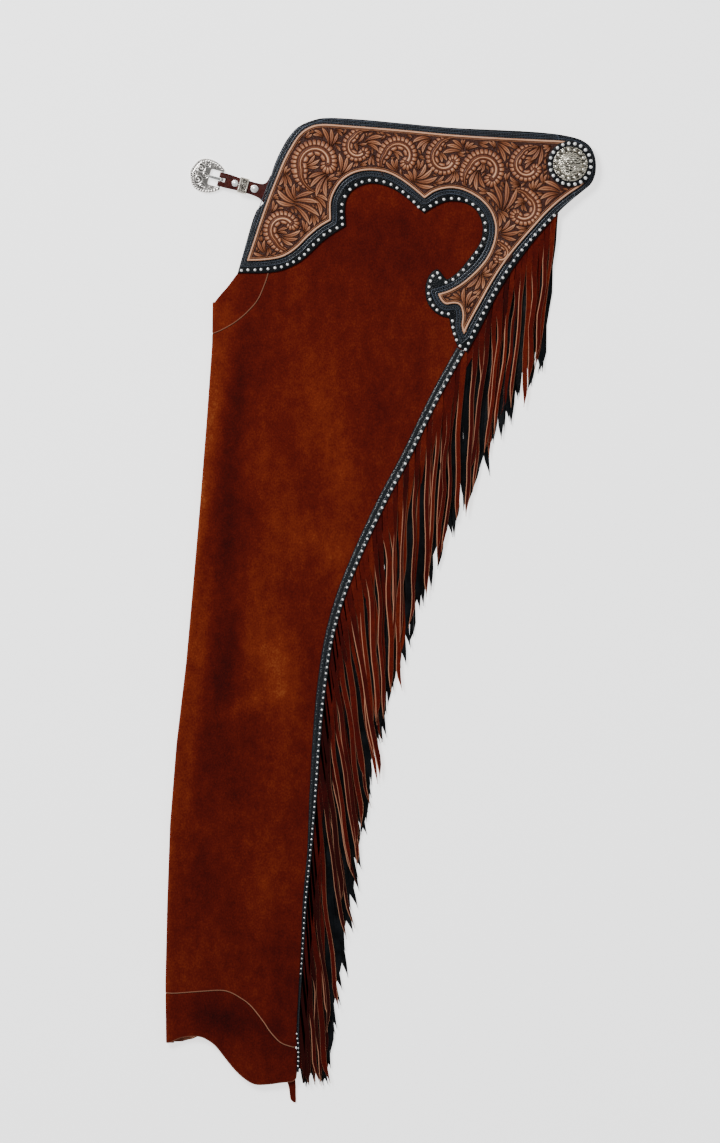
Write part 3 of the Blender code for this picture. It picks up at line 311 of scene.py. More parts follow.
# The tooled overlay
TOOLED_EDGE = [
    (-160.6, 384.2, True), (-152.9, 407.3), (-144.1, 433.7), (-135.3, 457.9), (-128.2, 475.5),
    (-121, 493.1), (-113.3, 507.9), (-103.4, 522.8), (-92.4, 531), (-78.1, 534.5), (-47.3, 532.7),
    (7.7, 528.3), (62.7, 523.1), (117.7, 519.5), (161.7, 517.3), (185.9, 516), (202.4, 512.9),
    (213.4, 504.1), (217.6, 492), (216.2, 479.9), (209, 468.9), (195.8, 459.5), (182.6, 449.6),
    (169.4, 437.5), (155.1, 421.6), (139.7, 404), (126.5, 387.5), (111.1, 364.4), (96.8, 339.1),
    (84.7, 317.1), (78.1, 303.3, True), (75.4, 312.7), (76.5, 324.8), (73.7, 335.2), (67.1, 337.4),
    (58.3, 336.3), (52.8, 340.7), (49.5, 347.9, True), (61.6, 351.7), (73.7, 358.3), (84.7, 367.1),
    (95.7, 378.1), (104.5, 390.2), (110.6, 405.1), (112.5, 420.5), (109.5, 433.7), (103.4, 444.1),
    (93.5, 453.5), (80.3, 460.8), (68.2, 463.9), (57.2, 463.7), (45.1, 460.1), (34.7, 452.9, True),
    (23.1, 462.8), (9.9, 472.7), (-3.3, 479.9), (-16.5, 483.2), (-30.8, 483.5), (-44, 480.2),
    (-55.6, 472.7), (-63.8, 461.2), (-68.2, 448), (-68.2, 428.7, True), (-80.3, 421.6), (-93.5, 410.6),
    (-105.6, 398.5), (-117.7, 390.2), (-129.8, 386.4), (-146.3, 384.5),
]
seam = open_line(SEAM_LINE, 3.0)
yoke_edge = closed_line([*YOKE_WAIST, *YOKE_SCALLOPS], 3.0)
tooled_edge = closed_line(TOOLED_EDGE, 3.0)
print("yoke:", round(float(np.ptp(yoke_edge[:, 0]))), "mm wide")

# %% [markdown]
# ## Sheets and strips
#
# Leather is cut from a flat hide, so most pieces here are a sheet: a filled outline with a
# thickness and a slightly worn rim. Blender fills an outline best through a constrained Delaunay
# triangulation, which takes the pattern line as its edge and evenly spread points inside, so the
# suede can swell and crease. Binding, welt and carved lines are strips instead: one small
# cross-section carried along a line.


# %% Turn points and faces into an object
def new_piece(name, points, faces, material, marks=None, body="root", smooth=45):
    """One mesh object from points in millimetres, riding on a body. marks holds a value per point."""
    mesh = bpy.data.meshes.new(name)
    places = (np.asarray(points, float) - (MIDDLE_X, 0, 0)) * MM
    mesh.from_pydata(places.tolist(), [], [list(map(int, face)) for face in faces])
    for label, values in (marks or {}).items():
        layer = mesh.attributes.new(label, "FLOAT", "POINT")
        layer.data.foreach_set("value", np.asarray(values, np.float32))
    mesh.materials.append(material)
    mesh.shade_smooth()
    mesh.set_sharp_from_angle(angle=math.radians(smooth))
    piece = bpy.data.objects.new(name, mesh)
    bpy.context.scene.collection.objects.link(piece)
    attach(piece, body)
    print(f"{name}: {len(mesh.polygons)} faces")
    return piece


def filled(outline, inner):
    """Triangles over an outline and its inner points, by the points that were given."""
    count = len(outline)
    edges = [(index, (index + 1) % count) for index in range(count)]
    points = [tuple(map(float, point)) for point in [*outline, *inner]]
    made = delaunay_2d_cdt(points, edges, [], 0, 1e-6)
    corners = np.array([tuple(point) for point in made[0]])
    faces = np.array([list(face) for face in made[2]])
    kept = faces[inside(corners[faces].mean(axis=1), np.asarray(outline, float))]
    given = [made[3][index][0] for index in range(len(corners))]
    return [[given[index] for index in face] for face in kept]


def spread_points(outline, spacing, clear=0.5):
    """A staggered grid of points inside an outline, clear of its edge."""
    low = outline.min(axis=0)
    high = outline.max(axis=0)
    rows = np.arange(low[1] + spacing / 2, high[1], spacing * 0.87)
    grid = []
    for number, y in enumerate(rows):
        xs = np.arange(low[0] + spacing / 2 * (number % 2), high[0], spacing)
        grid.append(np.stack([xs, np.full(len(xs), y)], axis=1))
    grid = np.concatenate(grid)
    grid = grid[inside(grid, outline)]
    fine, _ = evenly(outline, spacing / 3, closed=True)
    return grid[nearest_distance(grid, fine) > clear * spacing]


# Rim of a cut edge from the face down: inset, share of the thickness gone, raw edge showing
CUT_RIM = [(1.3, 0.0, 0.0), (0.75, 0.10, 0.75), (0.25, 0.32, 1.0), (0.0, 0.62, 1.0), (0.15, 1.0, 1.0)]


def leather_sheet(name, outline, spacing, face_of, material, rim=CUT_RIM, inner=None, **options):
    """A sheet with a rounded rim. face_of turns pattern places and a depth share into points."""
    outline = np.asarray(outline, float)
    count = len(outline)
    area = np.cross(outline, np.roll(outline, -1, axis=0)).sum()
    inward = 1 if area > 0 else -1
    rings = [shifted_line(outline, inward * inset, closed=True) for inset, _, _ in rim]
    if inner is None:
        inner = spread_points(rings[0], spacing)
    top_faces = filled(rings[0], inner)
    places = np.concatenate([rings[0], inner, *rings[1:]]) if len(inner) else np.concatenate(rings)
    shares = np.zeros(len(places))
    raw = np.zeros(len(places))
    first = count + len(inner)
    for number, (_, share, bare) in enumerate(rim[1:]):
        shares[first + number * count : first + (number + 1) * count] = share
        raw[first + number * count : first + (number + 1) * count] = bare
    points = face_of(places, shares)
    faces = [list(face) for face in top_faces]
    starts = [0] + [first + number * count for number in range(len(rim) - 1)]
    for high, low in zip(starts, starts[1:]):
        for index in range(count):
            following = (index + 1) % count
            side = [high + index, low + index, low + following, high + following]
            faces.append(side[::inward])
    faces += [[starts[-1] + index for index in reversed(face)] for face in filled(rings[-1], [])]
    return new_piece(name, points, faces, material, {"raw": raw}, **options)


def flat_face(bottom, top):
    """Places and depth shares of a flat sheet, as points between two heights."""

    def face_of(places, shares):
        heights = top - (top - bottom) * shares
        return np.column_stack([places, heights])

    return face_of


def strip(line, section, heights, closed=False, widths=None):
    """Points and faces of a section carried along a line. The section runs across the line."""
    along, stretch = directions(line, closed)
    left = left_of(along)
    heights = np.broadcast_to(heights, len(line))
    widths = np.ones(len(line)) if widths is None else np.asarray(widths, float)
    points = []
    for place, side, pull, base, width in zip(line, left, stretch, heights, widths):
        for across, rise in section:
            spot = place + side * across * width / pull
            points.append((spot[0], spot[1], base + rise))
    size = len(section)
    count = len(line)
    faces = []
    for row in range(count if closed else count - 1):
        for corner in range(size):
            following = (corner + 1) % size
            after = (row + 1) % count
            here, there = row * size, after * size
            faces.append([here + corner, there + corner, there + following, here + following])
    if not closed:
        faces.append(list(range(size)))
        faces.append([(count - 1) * size + corner for corner in reversed(range(size))])
    return points, faces


def ring_faces(first, second, count):
    """Faces that join two closed rings of points, by the numbers of their first points."""
    faces = []
    for corner in range(count):
        following = (corner + 1) % count
        faces.append([first + corner, first + following, second + following, second + corner])
    return faces


def gathered(parts):
    """Joins many (points, faces) into one list of points and one of faces."""
    points = []
    faces = []
    for part_points, part_faces in parts:
        start = len(points)
        points.extend(part_points)
        faces.extend([[start + index for index in face] for face in part_faces])
    return points, faces


# %% Heights of the layers above the table
SUEDE = 1.5
LEG_TOP = 8.4
YOKE_BOTTOM = 8.7
YOKE_TOP = 10.7
TOOLED_BOTTOM = 11.0
TOOLED_TOP = 13.5

# %% [markdown]
# ## Suede
#
# Suede is the flesh side of the hide, sanded to a nap. The nap lies one way or another wherever a
# hand has brushed it, so one piece of leather shows both a light orange brown and a deep red one.
# The shader blends those colours by three noises, from a hand's width down to single fibres, and
# by a value stored on the mesh: a few soft patches where the leather was brushed, and along the
# front fold a painted highlight where the leather turns to the light, with a band of painted shade
# inside it. A little sheen lifts the edges, as fibres standing on end do.


# %% Node helpers
def add_node(material, kind, **settings):
    node = material.node_tree.nodes.new(kind)
    for name, value in settings.items():
        if name in node.inputs:
            node.inputs[name].default_value = value
        else:
            setattr(node, name, value)
    return node


def join(material, start, end):
    material.node_tree.links.new(start, end)


def pattern(material, kind, scale, stretch=(1, 1, 1), **settings):
    """A texture on Object coordinates, stretched along the axes."""
    coordinates = add_node(material, "ShaderNodeTexCoord")
    mapping = add_node(material, "ShaderNodeMapping")
    mapping.inputs["Scale"].default_value = stretch
    texture = add_node(material, kind, Scale=scale, **settings)
    join(material, coordinates.outputs["Object"], mapping.inputs["Vector"])
    join(material, mapping.outputs["Vector"], texture.inputs["Vector"])
    return texture


def mark(material, label):
    return add_node(material, "ShaderNodeAttribute", attribute_name=label).outputs["Fac"]


def math_node(material, operation, first, second):
    node = add_node(material, "ShaderNodeMath", operation=operation)
    for socket, value in zip(node.inputs, (first, second)):
        if isinstance(value, (int, float)):
            socket.default_value = value
        else:
            join(material, value, socket)
    return node.outputs[0]


def colour_ramp(material, factor, stops):
    """A colour ramp with a list of place, red, green, blue stops."""
    ramp = add_node(material, "ShaderNodeValToRGB")
    ramp.color_ramp.elements[0].position = stops[0][0]
    ramp.color_ramp.elements[0].color = (*stops[0][1:], 1)
    ramp.color_ramp.elements[1].position = stops[-1][0]
    ramp.color_ramp.elements[1].color = (*stops[-1][1:], 1)
    for place, *colour in stops[1:-1]:
        ramp.color_ramp.elements.new(place).color = (*colour, 1)
    join(material, factor, ramp.inputs["Fac"])
    return ramp.outputs["Color"]


def blended(material, factor, first, second):
    """Mixes a colour with a second one, which may be a plain colour."""
    mix = add_node(material, "ShaderNodeMix", data_type="RGBA")
    join(material, factor, mix.inputs["Factor"])
    join(material, first, mix.inputs["A"])
    if isinstance(second, tuple):
        mix.inputs["B"].default_value = (*second, 1)
    else:
        join(material, second, mix.inputs["B"])
    return mix.outputs["Result"]


def bumped(material, shader, *layers):
    """Stacks bumps on a shader: each layer is a height and how deep it goes, in millimetres."""
    normal = None
    for height, depth in layers:
        bump = add_node(material, "ShaderNodeBump")
        bump.inputs["Distance"].default_value = depth * MM
        join(material, height, bump.inputs["Height"])
        if normal is not None:
            join(material, normal, bump.inputs["Normal"])
        normal = bump.outputs["Normal"]
    join(material, normal, shader.inputs["Normal"])


# %% Suede material
RAW_EDGE = (0.47, 0.22, 0.13)
SUEDE_COLOURS = [
    (0.10, 0.0170, 0.0003, 0.0002),
    (0.34, 0.0480, 0.0015, 0.0006),
    (0.52, 0.0820, 0.0047, 0.0011),
    (0.72, 0.1370, 0.0160, 0.0032),
    (0.95, 0.2300, 0.0560, 0.0140),
]


def suede_material(name, darker=0.0):
    """Napped suede. darker takes a little off the nap, for pieces that lie in the shade."""
    material, shader = new_material(name, (0.12, 0.02, 0.005), 0.95)
    patches = pattern(material, "ShaderNodeTexNoise", 17, (1, 0.6, 1), Detail=5, Roughness=0.55)
    brushed = pattern(material, "ShaderNodeTexNoise", 75, (1.2, 0.8, 1), Detail=6, Roughness=0.6)
    fibres = pattern(material, "ShaderNodeTexNoise", 620, (1, 0.75, 1), Detail=3, Roughness=0.7)
    # The value on the mesh: brushed patches, and on the leg painted highlight and shade by the fold
    nap_and_shading = math_node(material, "MULTIPLY", mark(material, "nap_and_shading"), 0.23)
    tone = math_node(material, "ADD", nap_and_shading, 0.5 - darker)
    for texture, strength in ((patches, 0.42), (brushed, 0.42), (fibres, 0.6)):
        offset = math_node(material, "SUBTRACT", texture.outputs["Fac"], 0.5)
        tone = math_node(material, "ADD", tone, math_node(material, "MULTIPLY", offset, strength))
    colour = colour_ramp(material, tone, SUEDE_COLOURS)
    raw = math_node(material, "MULTIPLY", mark(material, "raw"), 0.85)
    join(material, blended(material, raw, colour, RAW_EDGE), shader.inputs["Base Color"])
    shader.inputs["Specular IOR Level"].default_value = 0.12
    shader.inputs["Sheen Weight"].default_value = 0.08
    shader.inputs["Sheen Roughness"].default_value = 0.5
    shader.inputs["Sheen Tint"].default_value = (0.9, 0.3, 0.1, 1)
    bumped(material, shader, (brushed.outputs["Fac"], 0.9), (fibres.outputs["Fac"], 0.35))
    return material


suede = suede_material("suede")
hem_suede = suede_material("hem_suede", 0.05)

# %% [markdown]
# ## The leg
#
# The leg is one large sheet that turns round the front fold and lies on its own inner side. A
# block wouldn't do: the sheet has to be 1.5 mm thick, roll over at the fold and show its cut
# edge. So it is drawn unfolded, as on the cutting table, and then wrapped: a place left of the
# fold's top line travels round a small half circle. Soft swells are added where the layers
# underneath push up, and thin creases where the leather was folded for storage.

# %% Shape of the suede
FOLD_RADIUS = 2.4
FLAP = 6.5
# Soft swells: x, y of the middle, turn in degrees, half length, half width, height
SWELLS = [
    (-120, 170, 72, 150, 34, 1.3), (-40, 150, 62, 110, 26, 1.1), (-165, -20, 84, 170, 28, 1.2),
    (-110, -140, 88, 190, 30, 1.4), (-195, -290, 92, 130, 26, 1.2), (-140, -350, 100, 90, 24, 1.3),
]
# Thin creases and press marks: x, y of both ends, half width, height
CREASES = [
    (-41, 231, -37, 150, 3.5, 0.30), (-93, 273, -46, 234, 2.6, 0.22), (-146, 265, -93, 259, 2.6, 0.16),
    (-60, 120, -84, 60, 3.0, 0.22), (-165, 90, -120, 76, 3.0, 0.16), (-190, 60, -205, -60, 5.0, -0.25),
    (-128, -60, -146, -150, 3.4, 0.24), (-176, -100, -140, -118, 4.0, 0.22),
    (-120, -190, -118, -270, 3.4, 0.20), (-160, -300, -168, -390, 4.0, 0.20),
]
# Press marks of a zip's teeth in the layer below: x, y of both ends, number of teeth
TOOTH_MARKS = [
    (-126, -116, -139, -158, 26), (-139, -160, -150, -200, 24), (-152, -206, -157, -256, 28),
    (-129, -200, -123, -242, 22),
]
# How the nap was brushed, read in the photograph's frame, and next to the front fold a painted
# highlight on its edge and painted shade in the band inside it:
# across, down, turn in degrees, half length, half width, lighter or darker
BRUSHED_AND_FOLD_SHADING = [
    (232, 450, 97, 120, 12, -0.95), (212, 430, 97, 130, 9, 0.75), (323, 420, 80, 60, 35, 0.35),
    (340, 472, 85, 45, 16, 0.6), (376, 410, 100, 60, 12, -0.35), (300, 290, 20, 70, 30, -0.15),
    (390, 250, 0, 70, 40, -0.45), (425, 330, 60, 50, 18, 0.15), (330, 545, 30, 60, 22, 0.5),
    (268, 560, 100, 50, 20, 0.3), (228, 560, 98, 60, 10, -0.5), (205, 620, 97, 70, 9, 0.6),
    (226, 655, 100, 60, 13, -1.0), (278, 660, 70, 42, 24, 0.95), (246, 704, -20, 40, 9, 0.7),
    (214, 735, 90, 55, 12, -0.45), (190, 760, 94, 90, 8, 0.45), (286, 742, 90, 60, 12, 0.35),
    (240, 800, 90, 70, 14, -0.4), (202, 850, 92, 80, 12, -0.3), (268, 870, 95, 60, 14, 0.25),
    (224, 905, 90, 50, 22, -0.3), (196, 950, 90, 34, 26, 0.35), (283, 990, 95, 60, 18, -0.7),
    (240, 960, 90, 60, 14, -0.15), (218, 1016, 10, 34, 14, -0.9), (184, 1012, 80, 25, 10, 0.25),
    (262, 1030, 40, 26, 14, -0.35), (245, 1058, 20, 30, 10, 0.25),
]
PHOTO_ORIGIN = (393, 610.25)


def from_photo(across, down):
    """A place in the photograph's 720 by 1143 frame, as a place on the pattern."""
    return (across - PHOTO_ORIGIN[0]) * PIXEL / MM, (PHOTO_ORIGIN[1] - down) * PIXEL / MM


def fold_x(y):
    return np.interp(y, [row[0] for row in FOLD_LINE], [row[1] for row in FOLD_LINE])


def seam_x(y):
    rows = sorted((point[1], point[0]) for point in SEAM_LINE)
    return np.interp(y, [row[0] for row in rows], [row[1] for row in rows])


def bell(x, y, middle_x, middle_y, turn, half_length, half_width):
    """A soft oval hill, 1 in its middle."""
    angle = math.radians(turn)
    along = (x - middle_x) * math.cos(angle) + (y - middle_y) * math.sin(angle)
    across = (y - middle_y) * math.cos(angle) - (x - middle_x) * math.sin(angle)
    return np.exp(-((along / half_length) ** 2) - (across / half_width) ** 2)


def ridge(x, y, x1, y1, x2, y2, half_width):
    """A soft ridge between two places, fading at both ends."""
    length = math.hypot(x2 - x1, y2 - y1)
    ahead = ((x2 - x1) / length, (y2 - y1) / length)
    along = (x - x1) * ahead[0] + (y - y1) * ahead[1]
    across = (y - y1) * ahead[0] - (x - x1) * ahead[1]
    across = across + 0.06 * length * np.sin(np.pi * along / length)
    ends = smooth_step(along / (0.3 * length)) * smooth_step((length - along) / (0.3 * length))
    return ends * np.exp(-((across / half_width) ** 2))


def suede_height(x, y):
    """Height of the suede's face: flat at its edges and seams, with swells and creases between."""
    calm = smooth_step((x - fold_x(y) - 6) / 30)
    calm *= smooth_step((seam_x(y) - 12 - x) / 30)
    calm *= smooth_step((y + 410) / 40) * smooth_step((275 - y) / 60)
    height = sum(rise * bell(x, y, *place) for *place, rise in SWELLS)
    fine = sum(rise * ridge(x, y, *place) for *place, rise in CREASES)
    for x1, y1, x2, y2, teeth in TOOTH_MARKS:
        length = math.hypot(x2 - x1, y2 - y1)
        along = ((x - x1) * (x2 - x1) + (y - y1) * (y2 - y1)) / length
        fine = fine + 0.10 * ridge(x, y, x1, y1, x2, y2, 4.5) * np.cos(math.tau * along * teeth / length)
    return LEG_TOP + calm * (height + fine)


def nap_and_shading_of(points):
    """Lightness at points of the leg: brushed patches, and painted light and shade at the fold."""
    x, y = points[:, 0], points[:, 1]
    nap_and_shading = np.zeros(len(points))
    for across, down, turn, half_length, half_width, tone in BRUSHED_AND_FOLD_SHADING:
        middle = from_photo(across, down)
        scale = PIXEL / MM
        nap_and_shading += tone * bell(x, y, *middle, -turn, half_length * scale, half_width * scale)
    # Painted highlight: lighter close to the front fold, where the leather turns to the light
    nap_and_shading += 0.55 * np.exp(-(((x - fold_x(y)) / 7) ** 2))
    return nap_and_shading


def leg_face(lifts=()):
    """Wraps places round the fold. lifts are line, reach and rise where one piece laps another."""

    def face_of(places, shares):
        y = places[:, 1]
        across = places[:, 0]
        depth = SUEDE * shares
        start = fold_x(y) + FOLD_RADIUS
        top = suede_height(start + across, y)
        for line, reach, rise in lifts:
            gap = nearest_distance(np.column_stack([start + across, y]), line)
            top = top + rise * smooth_step(1 - gap / reach)
        angle = np.clip(-across / FOLD_RADIUS, 0, math.pi)
        past = np.maximum(-across - math.pi * FOLD_RADIUS, 0)
        radius = FOLD_RADIUS - depth
        round_x = start - radius * np.sin(angle) + past
        round_z = top - FOLD_RADIUS + radius * np.cos(angle)
        flat = across >= 0
        x = np.where(flat, start + across, round_x)
        z = np.where(flat, top - depth, round_z)
        return np.column_stack([x, y, z])

    return face_of


def unfolded(line):
    line = np.asarray(line, float).reshape(-1, 2)
    return np.column_stack([line[:, 0] - fold_x(line[:, 1]) - FOLD_RADIUS, line[:, 1]])


def leg_piece(name, lower, right, upper, lifts, bare_lines, material, spacing, bare_reach=2.2):
    """A sheet of the leg between its lower edge, right edge and upper edge, wrapped at the fold."""
    columns = [-math.pi * FOLD_RADIUS * part / 6 for part in range(1, 7)] + [-math.pi * FOLD_RADIUS - FLAP]
    low = lower[0][1]
    high = upper[-1][1]
    rows = np.arange(high - 5, low + 3, -5)
    under = [(column, high) for column in columns]
    flap_edge = [(columns[-1], y) for y in rows]
    back = [(column, low) for column in reversed(columns)]
    outline = np.concatenate([unfolded(lower), unfolded(right), unfolded(upper), under, flap_edge, back])
    inner = spread_points(outline, spacing)
    inner = inner[inner[:, 0] > 1.5]
    round_fold = [(column, y) for y in rows for column in [0.0, *columns[:-1]]]
    piece = leather_sheet(
        name, outline, spacing, leg_face(lifts), material, inner=np.concatenate([inner, round_fold])
    )
    places = np.empty(len(piece.data.vertices) * 3)
    piece.data.vertices.foreach_get("co", places)
    places = places.reshape(-1, 3) / MM + (MIDDLE_X, 0, 0)
    raw = np.empty(len(places), np.float32)
    piece.data.attributes["raw"].data.foreach_get("value", raw)
    shown = np.zeros(len(places))
    for line, strength in bare_lines:
        near = nearest_distance(places[:, :2], evenly(line, 1.0)[0]) < bare_reach
        shown = np.maximum(shown, near * strength)
    piece.data.attributes["raw"].data.foreach_set("value", (raw * shown).astype(np.float32))
    nap_and_shading = piece.data.attributes.new("nap_and_shading", "FLOAT", "POINT")
    nap_and_shading.data.foreach_set("value", nap_and_shading_of(places).astype(np.float32))
    return piece


# %% Three pieces of suede
GAP = 0.3
waist = shifted_line(open_line(YOKE_WAIST, 3.0), -1.5)
thigh_seam = open_line(THIGH_SEAM, 3.0)
hem_seam = open_line(HEM_SEAM, 3.0)
hem_edge = open_line(HEM_EDGE, 3.0)
panel_edge = shifted_line(seam, -0.5)
thigh_fine, _ = evenly(thigh_seam, 1.0)
hem_fine, _ = evenly(hem_seam, 1.0)
SUEDE_SPACING = 3.0

lower = shifted_line(hem_seam, GAP / 2)[:-1]
right = panel_edge[::-1]
right = right[right[:, 1] > lower[-1][1] - 1]
upper_seam = shifted_line(thigh_seam, GAP / 2)
front = waist[waist[:, 1] > upper_seam[0][1] + 4][::-1]
upper = np.concatenate([front, upper_seam[1:]])
leg = leg_piece(
    "leg_suede",
    lower,
    right,
    upper,
    [(hem_fine, 7.0, 0.55), (thigh_fine, 6.0, -0.45)],
    [(hem_seam, 1.0)],
    suede,
    SUEDE_SPACING,
)
seam_side = shifted_line(thigh_seam, -GAP / 2)[::-1]
free_side = [(THIGH_EDGE[0][0] + 3.6, seam_side[-1][1]), *THIGH_EDGE]
thigh = leg_piece(
    "thigh_suede",
    seam_side[:-1],
    [],
    open_line([(*place, number < 2) for number, place in enumerate(free_side)], 3.0),
    [(thigh_fine, 6.0, 0.5)],
    [(thigh_seam, 0.8)],
    suede,
    SUEDE_SPACING,
    1.7,
)
upper = shifted_line(hem_seam, -GAP / 2)[::-1]
side = panel_edge[panel_edge[:, 1] < upper[0][1] - 4][::-1]
hem = leg_piece(
    "hem_suede",
    hem_edge,
    side,
    upper,
    [(hem_fine, 7.0, -0.5)],
    [(hem_edge, 0.3)],
    hem_suede,
    SUEDE_SPACING,
)
for piece, node in ((leg, "leg_panel"), (thigh, "thigh_piece"), (hem, "hem_piece")):
    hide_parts(node)

# %% [markdown]
# ## Black leather
#
# The border under the carved overlay is black leather, doubled and sewn. It is a plain sheet with
# a worn rim, and two rows of stitches run beside the overlay. A sewn line isn't a painted one: the
# thread pulls the leather down between two soft ridges and lies in it as a row of small bars.
# Here the ridges are a strip carried along the offset of the overlay's edge, and the stitches are
# one small bar, modelled once and copied.


# %% Black leather material
BLACK_LEATHER = (0.0014, 0.0020, 0.0030)


def black_material(name, colour=BLACK_LEATHER, roughness=0.34, grain=420, depth=0.16, gloss=0.12):
    """Grained black leather. grain is how many cells a metre has, depth how deep the pores go."""
    material, shader = new_material(name, colour, roughness)
    cells = pattern(material, "ShaderNodeTexVoronoi", grain, (1, 1.2, 1), feature="DISTANCE_TO_EDGE")
    wear = pattern(material, "ShaderNodeTexNoise", 60, Detail=5, Roughness=0.6)
    worn = colour_ramp(material, wear.outputs["Fac"], [(0.35, *colour), (0.75, 0.006, 0.0075, 0.009)])
    raw = math_node(material, "MULTIPLY", mark(material, "raw"), 0.5)
    join(material, blended(material, raw, worn, (0.012, 0.012, 0.013)), shader.inputs["Base Color"])
    polish = math_node(material, "MULTIPLY", wear.outputs["Fac"], 0.4)
    join(material, math_node(material, "ADD", polish, roughness - 0.2), shader.inputs["Roughness"])
    shader.inputs["Specular IOR Level"].default_value = gloss
    pores = math_node(material, "MINIMUM", cells.outputs["Distance"], 0.25)
    bumped(material, shader, (wear.outputs["Fac"], 0.5), (pores, depth * 4))
    return material


black_leather = black_material("black_leather")
# Blue-grey ridges: painted highlight, for the sheen that glossy black leather shows on a ridge
ridge_painted_sheen = black_material("ridge_painted_sheen", (0.050, 0.064, 0.090), 0.26, 300, 0.05, 0.5)
thread, _ = new_material("black_thread", (0.030, 0.037, 0.050), 0.5)


# %% Small shapes made by hand and copied
def nothing_selected():
    for each in bpy.context.selected_objects:
        each.select_set(False)


def taken(piece):
    """The points, in millimetres, and faces of an object made by hand, which is then removed."""
    points = np.array([tuple(piece.matrix_world @ vertex.co) for vertex in piece.data.vertices])
    faces = [list(face.vertices) for face in piece.data.polygons]
    bpy.data.objects.remove(piece)
    return points, faces


def copies(shape, places, angles=None, sizes=None):
    """One shape repeated at many places, turned about the upright and scaled."""
    points, faces = shape
    parts = []
    for number, place in enumerate(places):
        angle = 0.0 if angles is None else angles[number]
        size = 1.0 if sizes is None else sizes[number]
        cosine, sine = math.cos(angle), math.sin(angle)
        turn = np.array([[cosine, sine, 0], [-sine, cosine, 0], [0, 0, 1]])
        parts.append((points @ turn * size + place, faces))
    return gathered(parts)


# %% A stitch
nothing_selected()
bpy.ops.mesh.primitive_cylinder_add(vertices=8, radius=0.42, depth=1.9, rotation=(0, math.pi / 2, 0))
stitch = bpy.context.object
bpy.ops.object.mode_set(mode="EDIT")
bpy.ops.mesh.select_all(action="SELECT")
bpy.ops.mesh.bevel(offset=0.2, segments=1, affect="EDGES")
bpy.ops.transform.resize(value=(1, 1, 0.62))
bpy.ops.object.mode_set(mode="OBJECT")
stitch_shape = taken(stitch)
print("stitch:", len(stitch_shape[1]), "faces")

# %% Border of the yoke
base = leather_sheet(
    "yoke_border",
    yoke_edge,
    9.0,
    flat_face(YOKE_BOTTOM, YOKE_TOP),
    black_leather,
    [(1.1, 0.0, 0.0), (0.6, 0.08, 0.3), (0.2, 0.28, 1.0), (0.0, 0.55, 1.0), (0.1, 1.0, 1.0)],
)
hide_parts("yoke_base")
# Across and rise of the ridge that a seam pushes up
SEAM_RIDGE = [(-0.5, -0.15), (-0.42, 0.3), (-0.2, 0.5), (0.0, 0.55), (0.2, 0.5), (0.42, 0.3), (0.5, -0.15)]
RIDGE_LINES = (2.6, 6.0)
STITCH_INSIDE_RIDGE = 1.5
STITCH_PITCH = 2.9
CLEAR_OF_RIM = 1.6
ridge_parts = []
stitch_places = []
stitch_angles = []
outer_side = 1 if inside(beside(tooled_edge, 3.0, 2.5), tooled_edge).mean() < 0.5 else -1
for distance in RIDGE_LINES:
    line = beside(tooled_edge, outer_side * distance, 2.5)
    kept = inside(line, yoke_edge) & (nearest_distance(line, yoke_edge) > CLEAR_OF_RIM)
    ridge_parts.append(strip(line[kept], SEAM_RIDGE, YOKE_TOP, closed=True))
    line = beside(tooled_edge, outer_side * (distance - STITCH_INSIDE_RIDGE), 2.5)
    places, along = evenly(line, STITCH_PITCH, closed=True)
    kept = inside(places, yoke_edge) & (nearest_distance(places, yoke_edge) > CLEAR_OF_RIM)
    stitch_places += [(x, y, YOKE_TOP + 0.05) for x, y in places[kept]]
    stitch_angles += [math.atan2(y, x) for x, y in along[kept]]
# The ridges carry that painted highlight in their colour
ridges = new_piece("border_ridges", *gathered(ridge_parts), ridge_painted_sheen)
stitches = copies(stitch_shape, np.array(stitch_places), stitch_angles)
stitches = new_piece("border_stitches", *stitches, thread)
print(len(stitch_places), "stitches")

# %% [markdown]
# ## Welt and fringe
#
# The outer seam is closed with a strip of the same black leather, rolled to a ridge on the leg's
# side. Under it two layers of fringe are sewn in, brown suede on top and black below. A maker cuts
# fringe from one wide piece with a straight edge and a knife: every strand is equally wide at its
# root and stays joined to the heading. So one function makes a whole layer as one mesh. It walks
# down the seam, starts a strand wherever the last one ends, and lets it hang, lean, twist a little
# and taper to a slanted tip. The knife shows the pale middle of the hide along each cut side.

# %% Welt
# y, width left of the seam line, width right of it
WELT_WIDTHS = [
    (-507, 1.2, 1.6), (-460, 1.2, 1.6), (-429, 1.0, 1.6), (-378, 1.6, 1.8), (-323, 3.0, 1.9),
    (-266, 3.4, 1.9), (-209, 6.4, 1.9), (-93, 8.0, 2.0), (57, 8.4, 2.0), (281, 8.4, 2.0),
]
WELT_SECTION = [
    (-1.0, 0.0), (-1.0, 0.75), (-0.93, 1.35), (-0.82, 1.85), (-0.66, 2.1), (-0.5, 1.85), (-0.4, 1.3),
    (-0.34, 0.85), (-0.28, 1.2), (-0.18, 1.45), (0.0, 1.5), (0.55, 1.45), (0.85, 1.15), (1.0, 0.6),
    (0.95, 0.0),
]


def table_value(table, place, column=1):
    return np.interp(place, [row[0] for row in table], [row[column] for row in table])


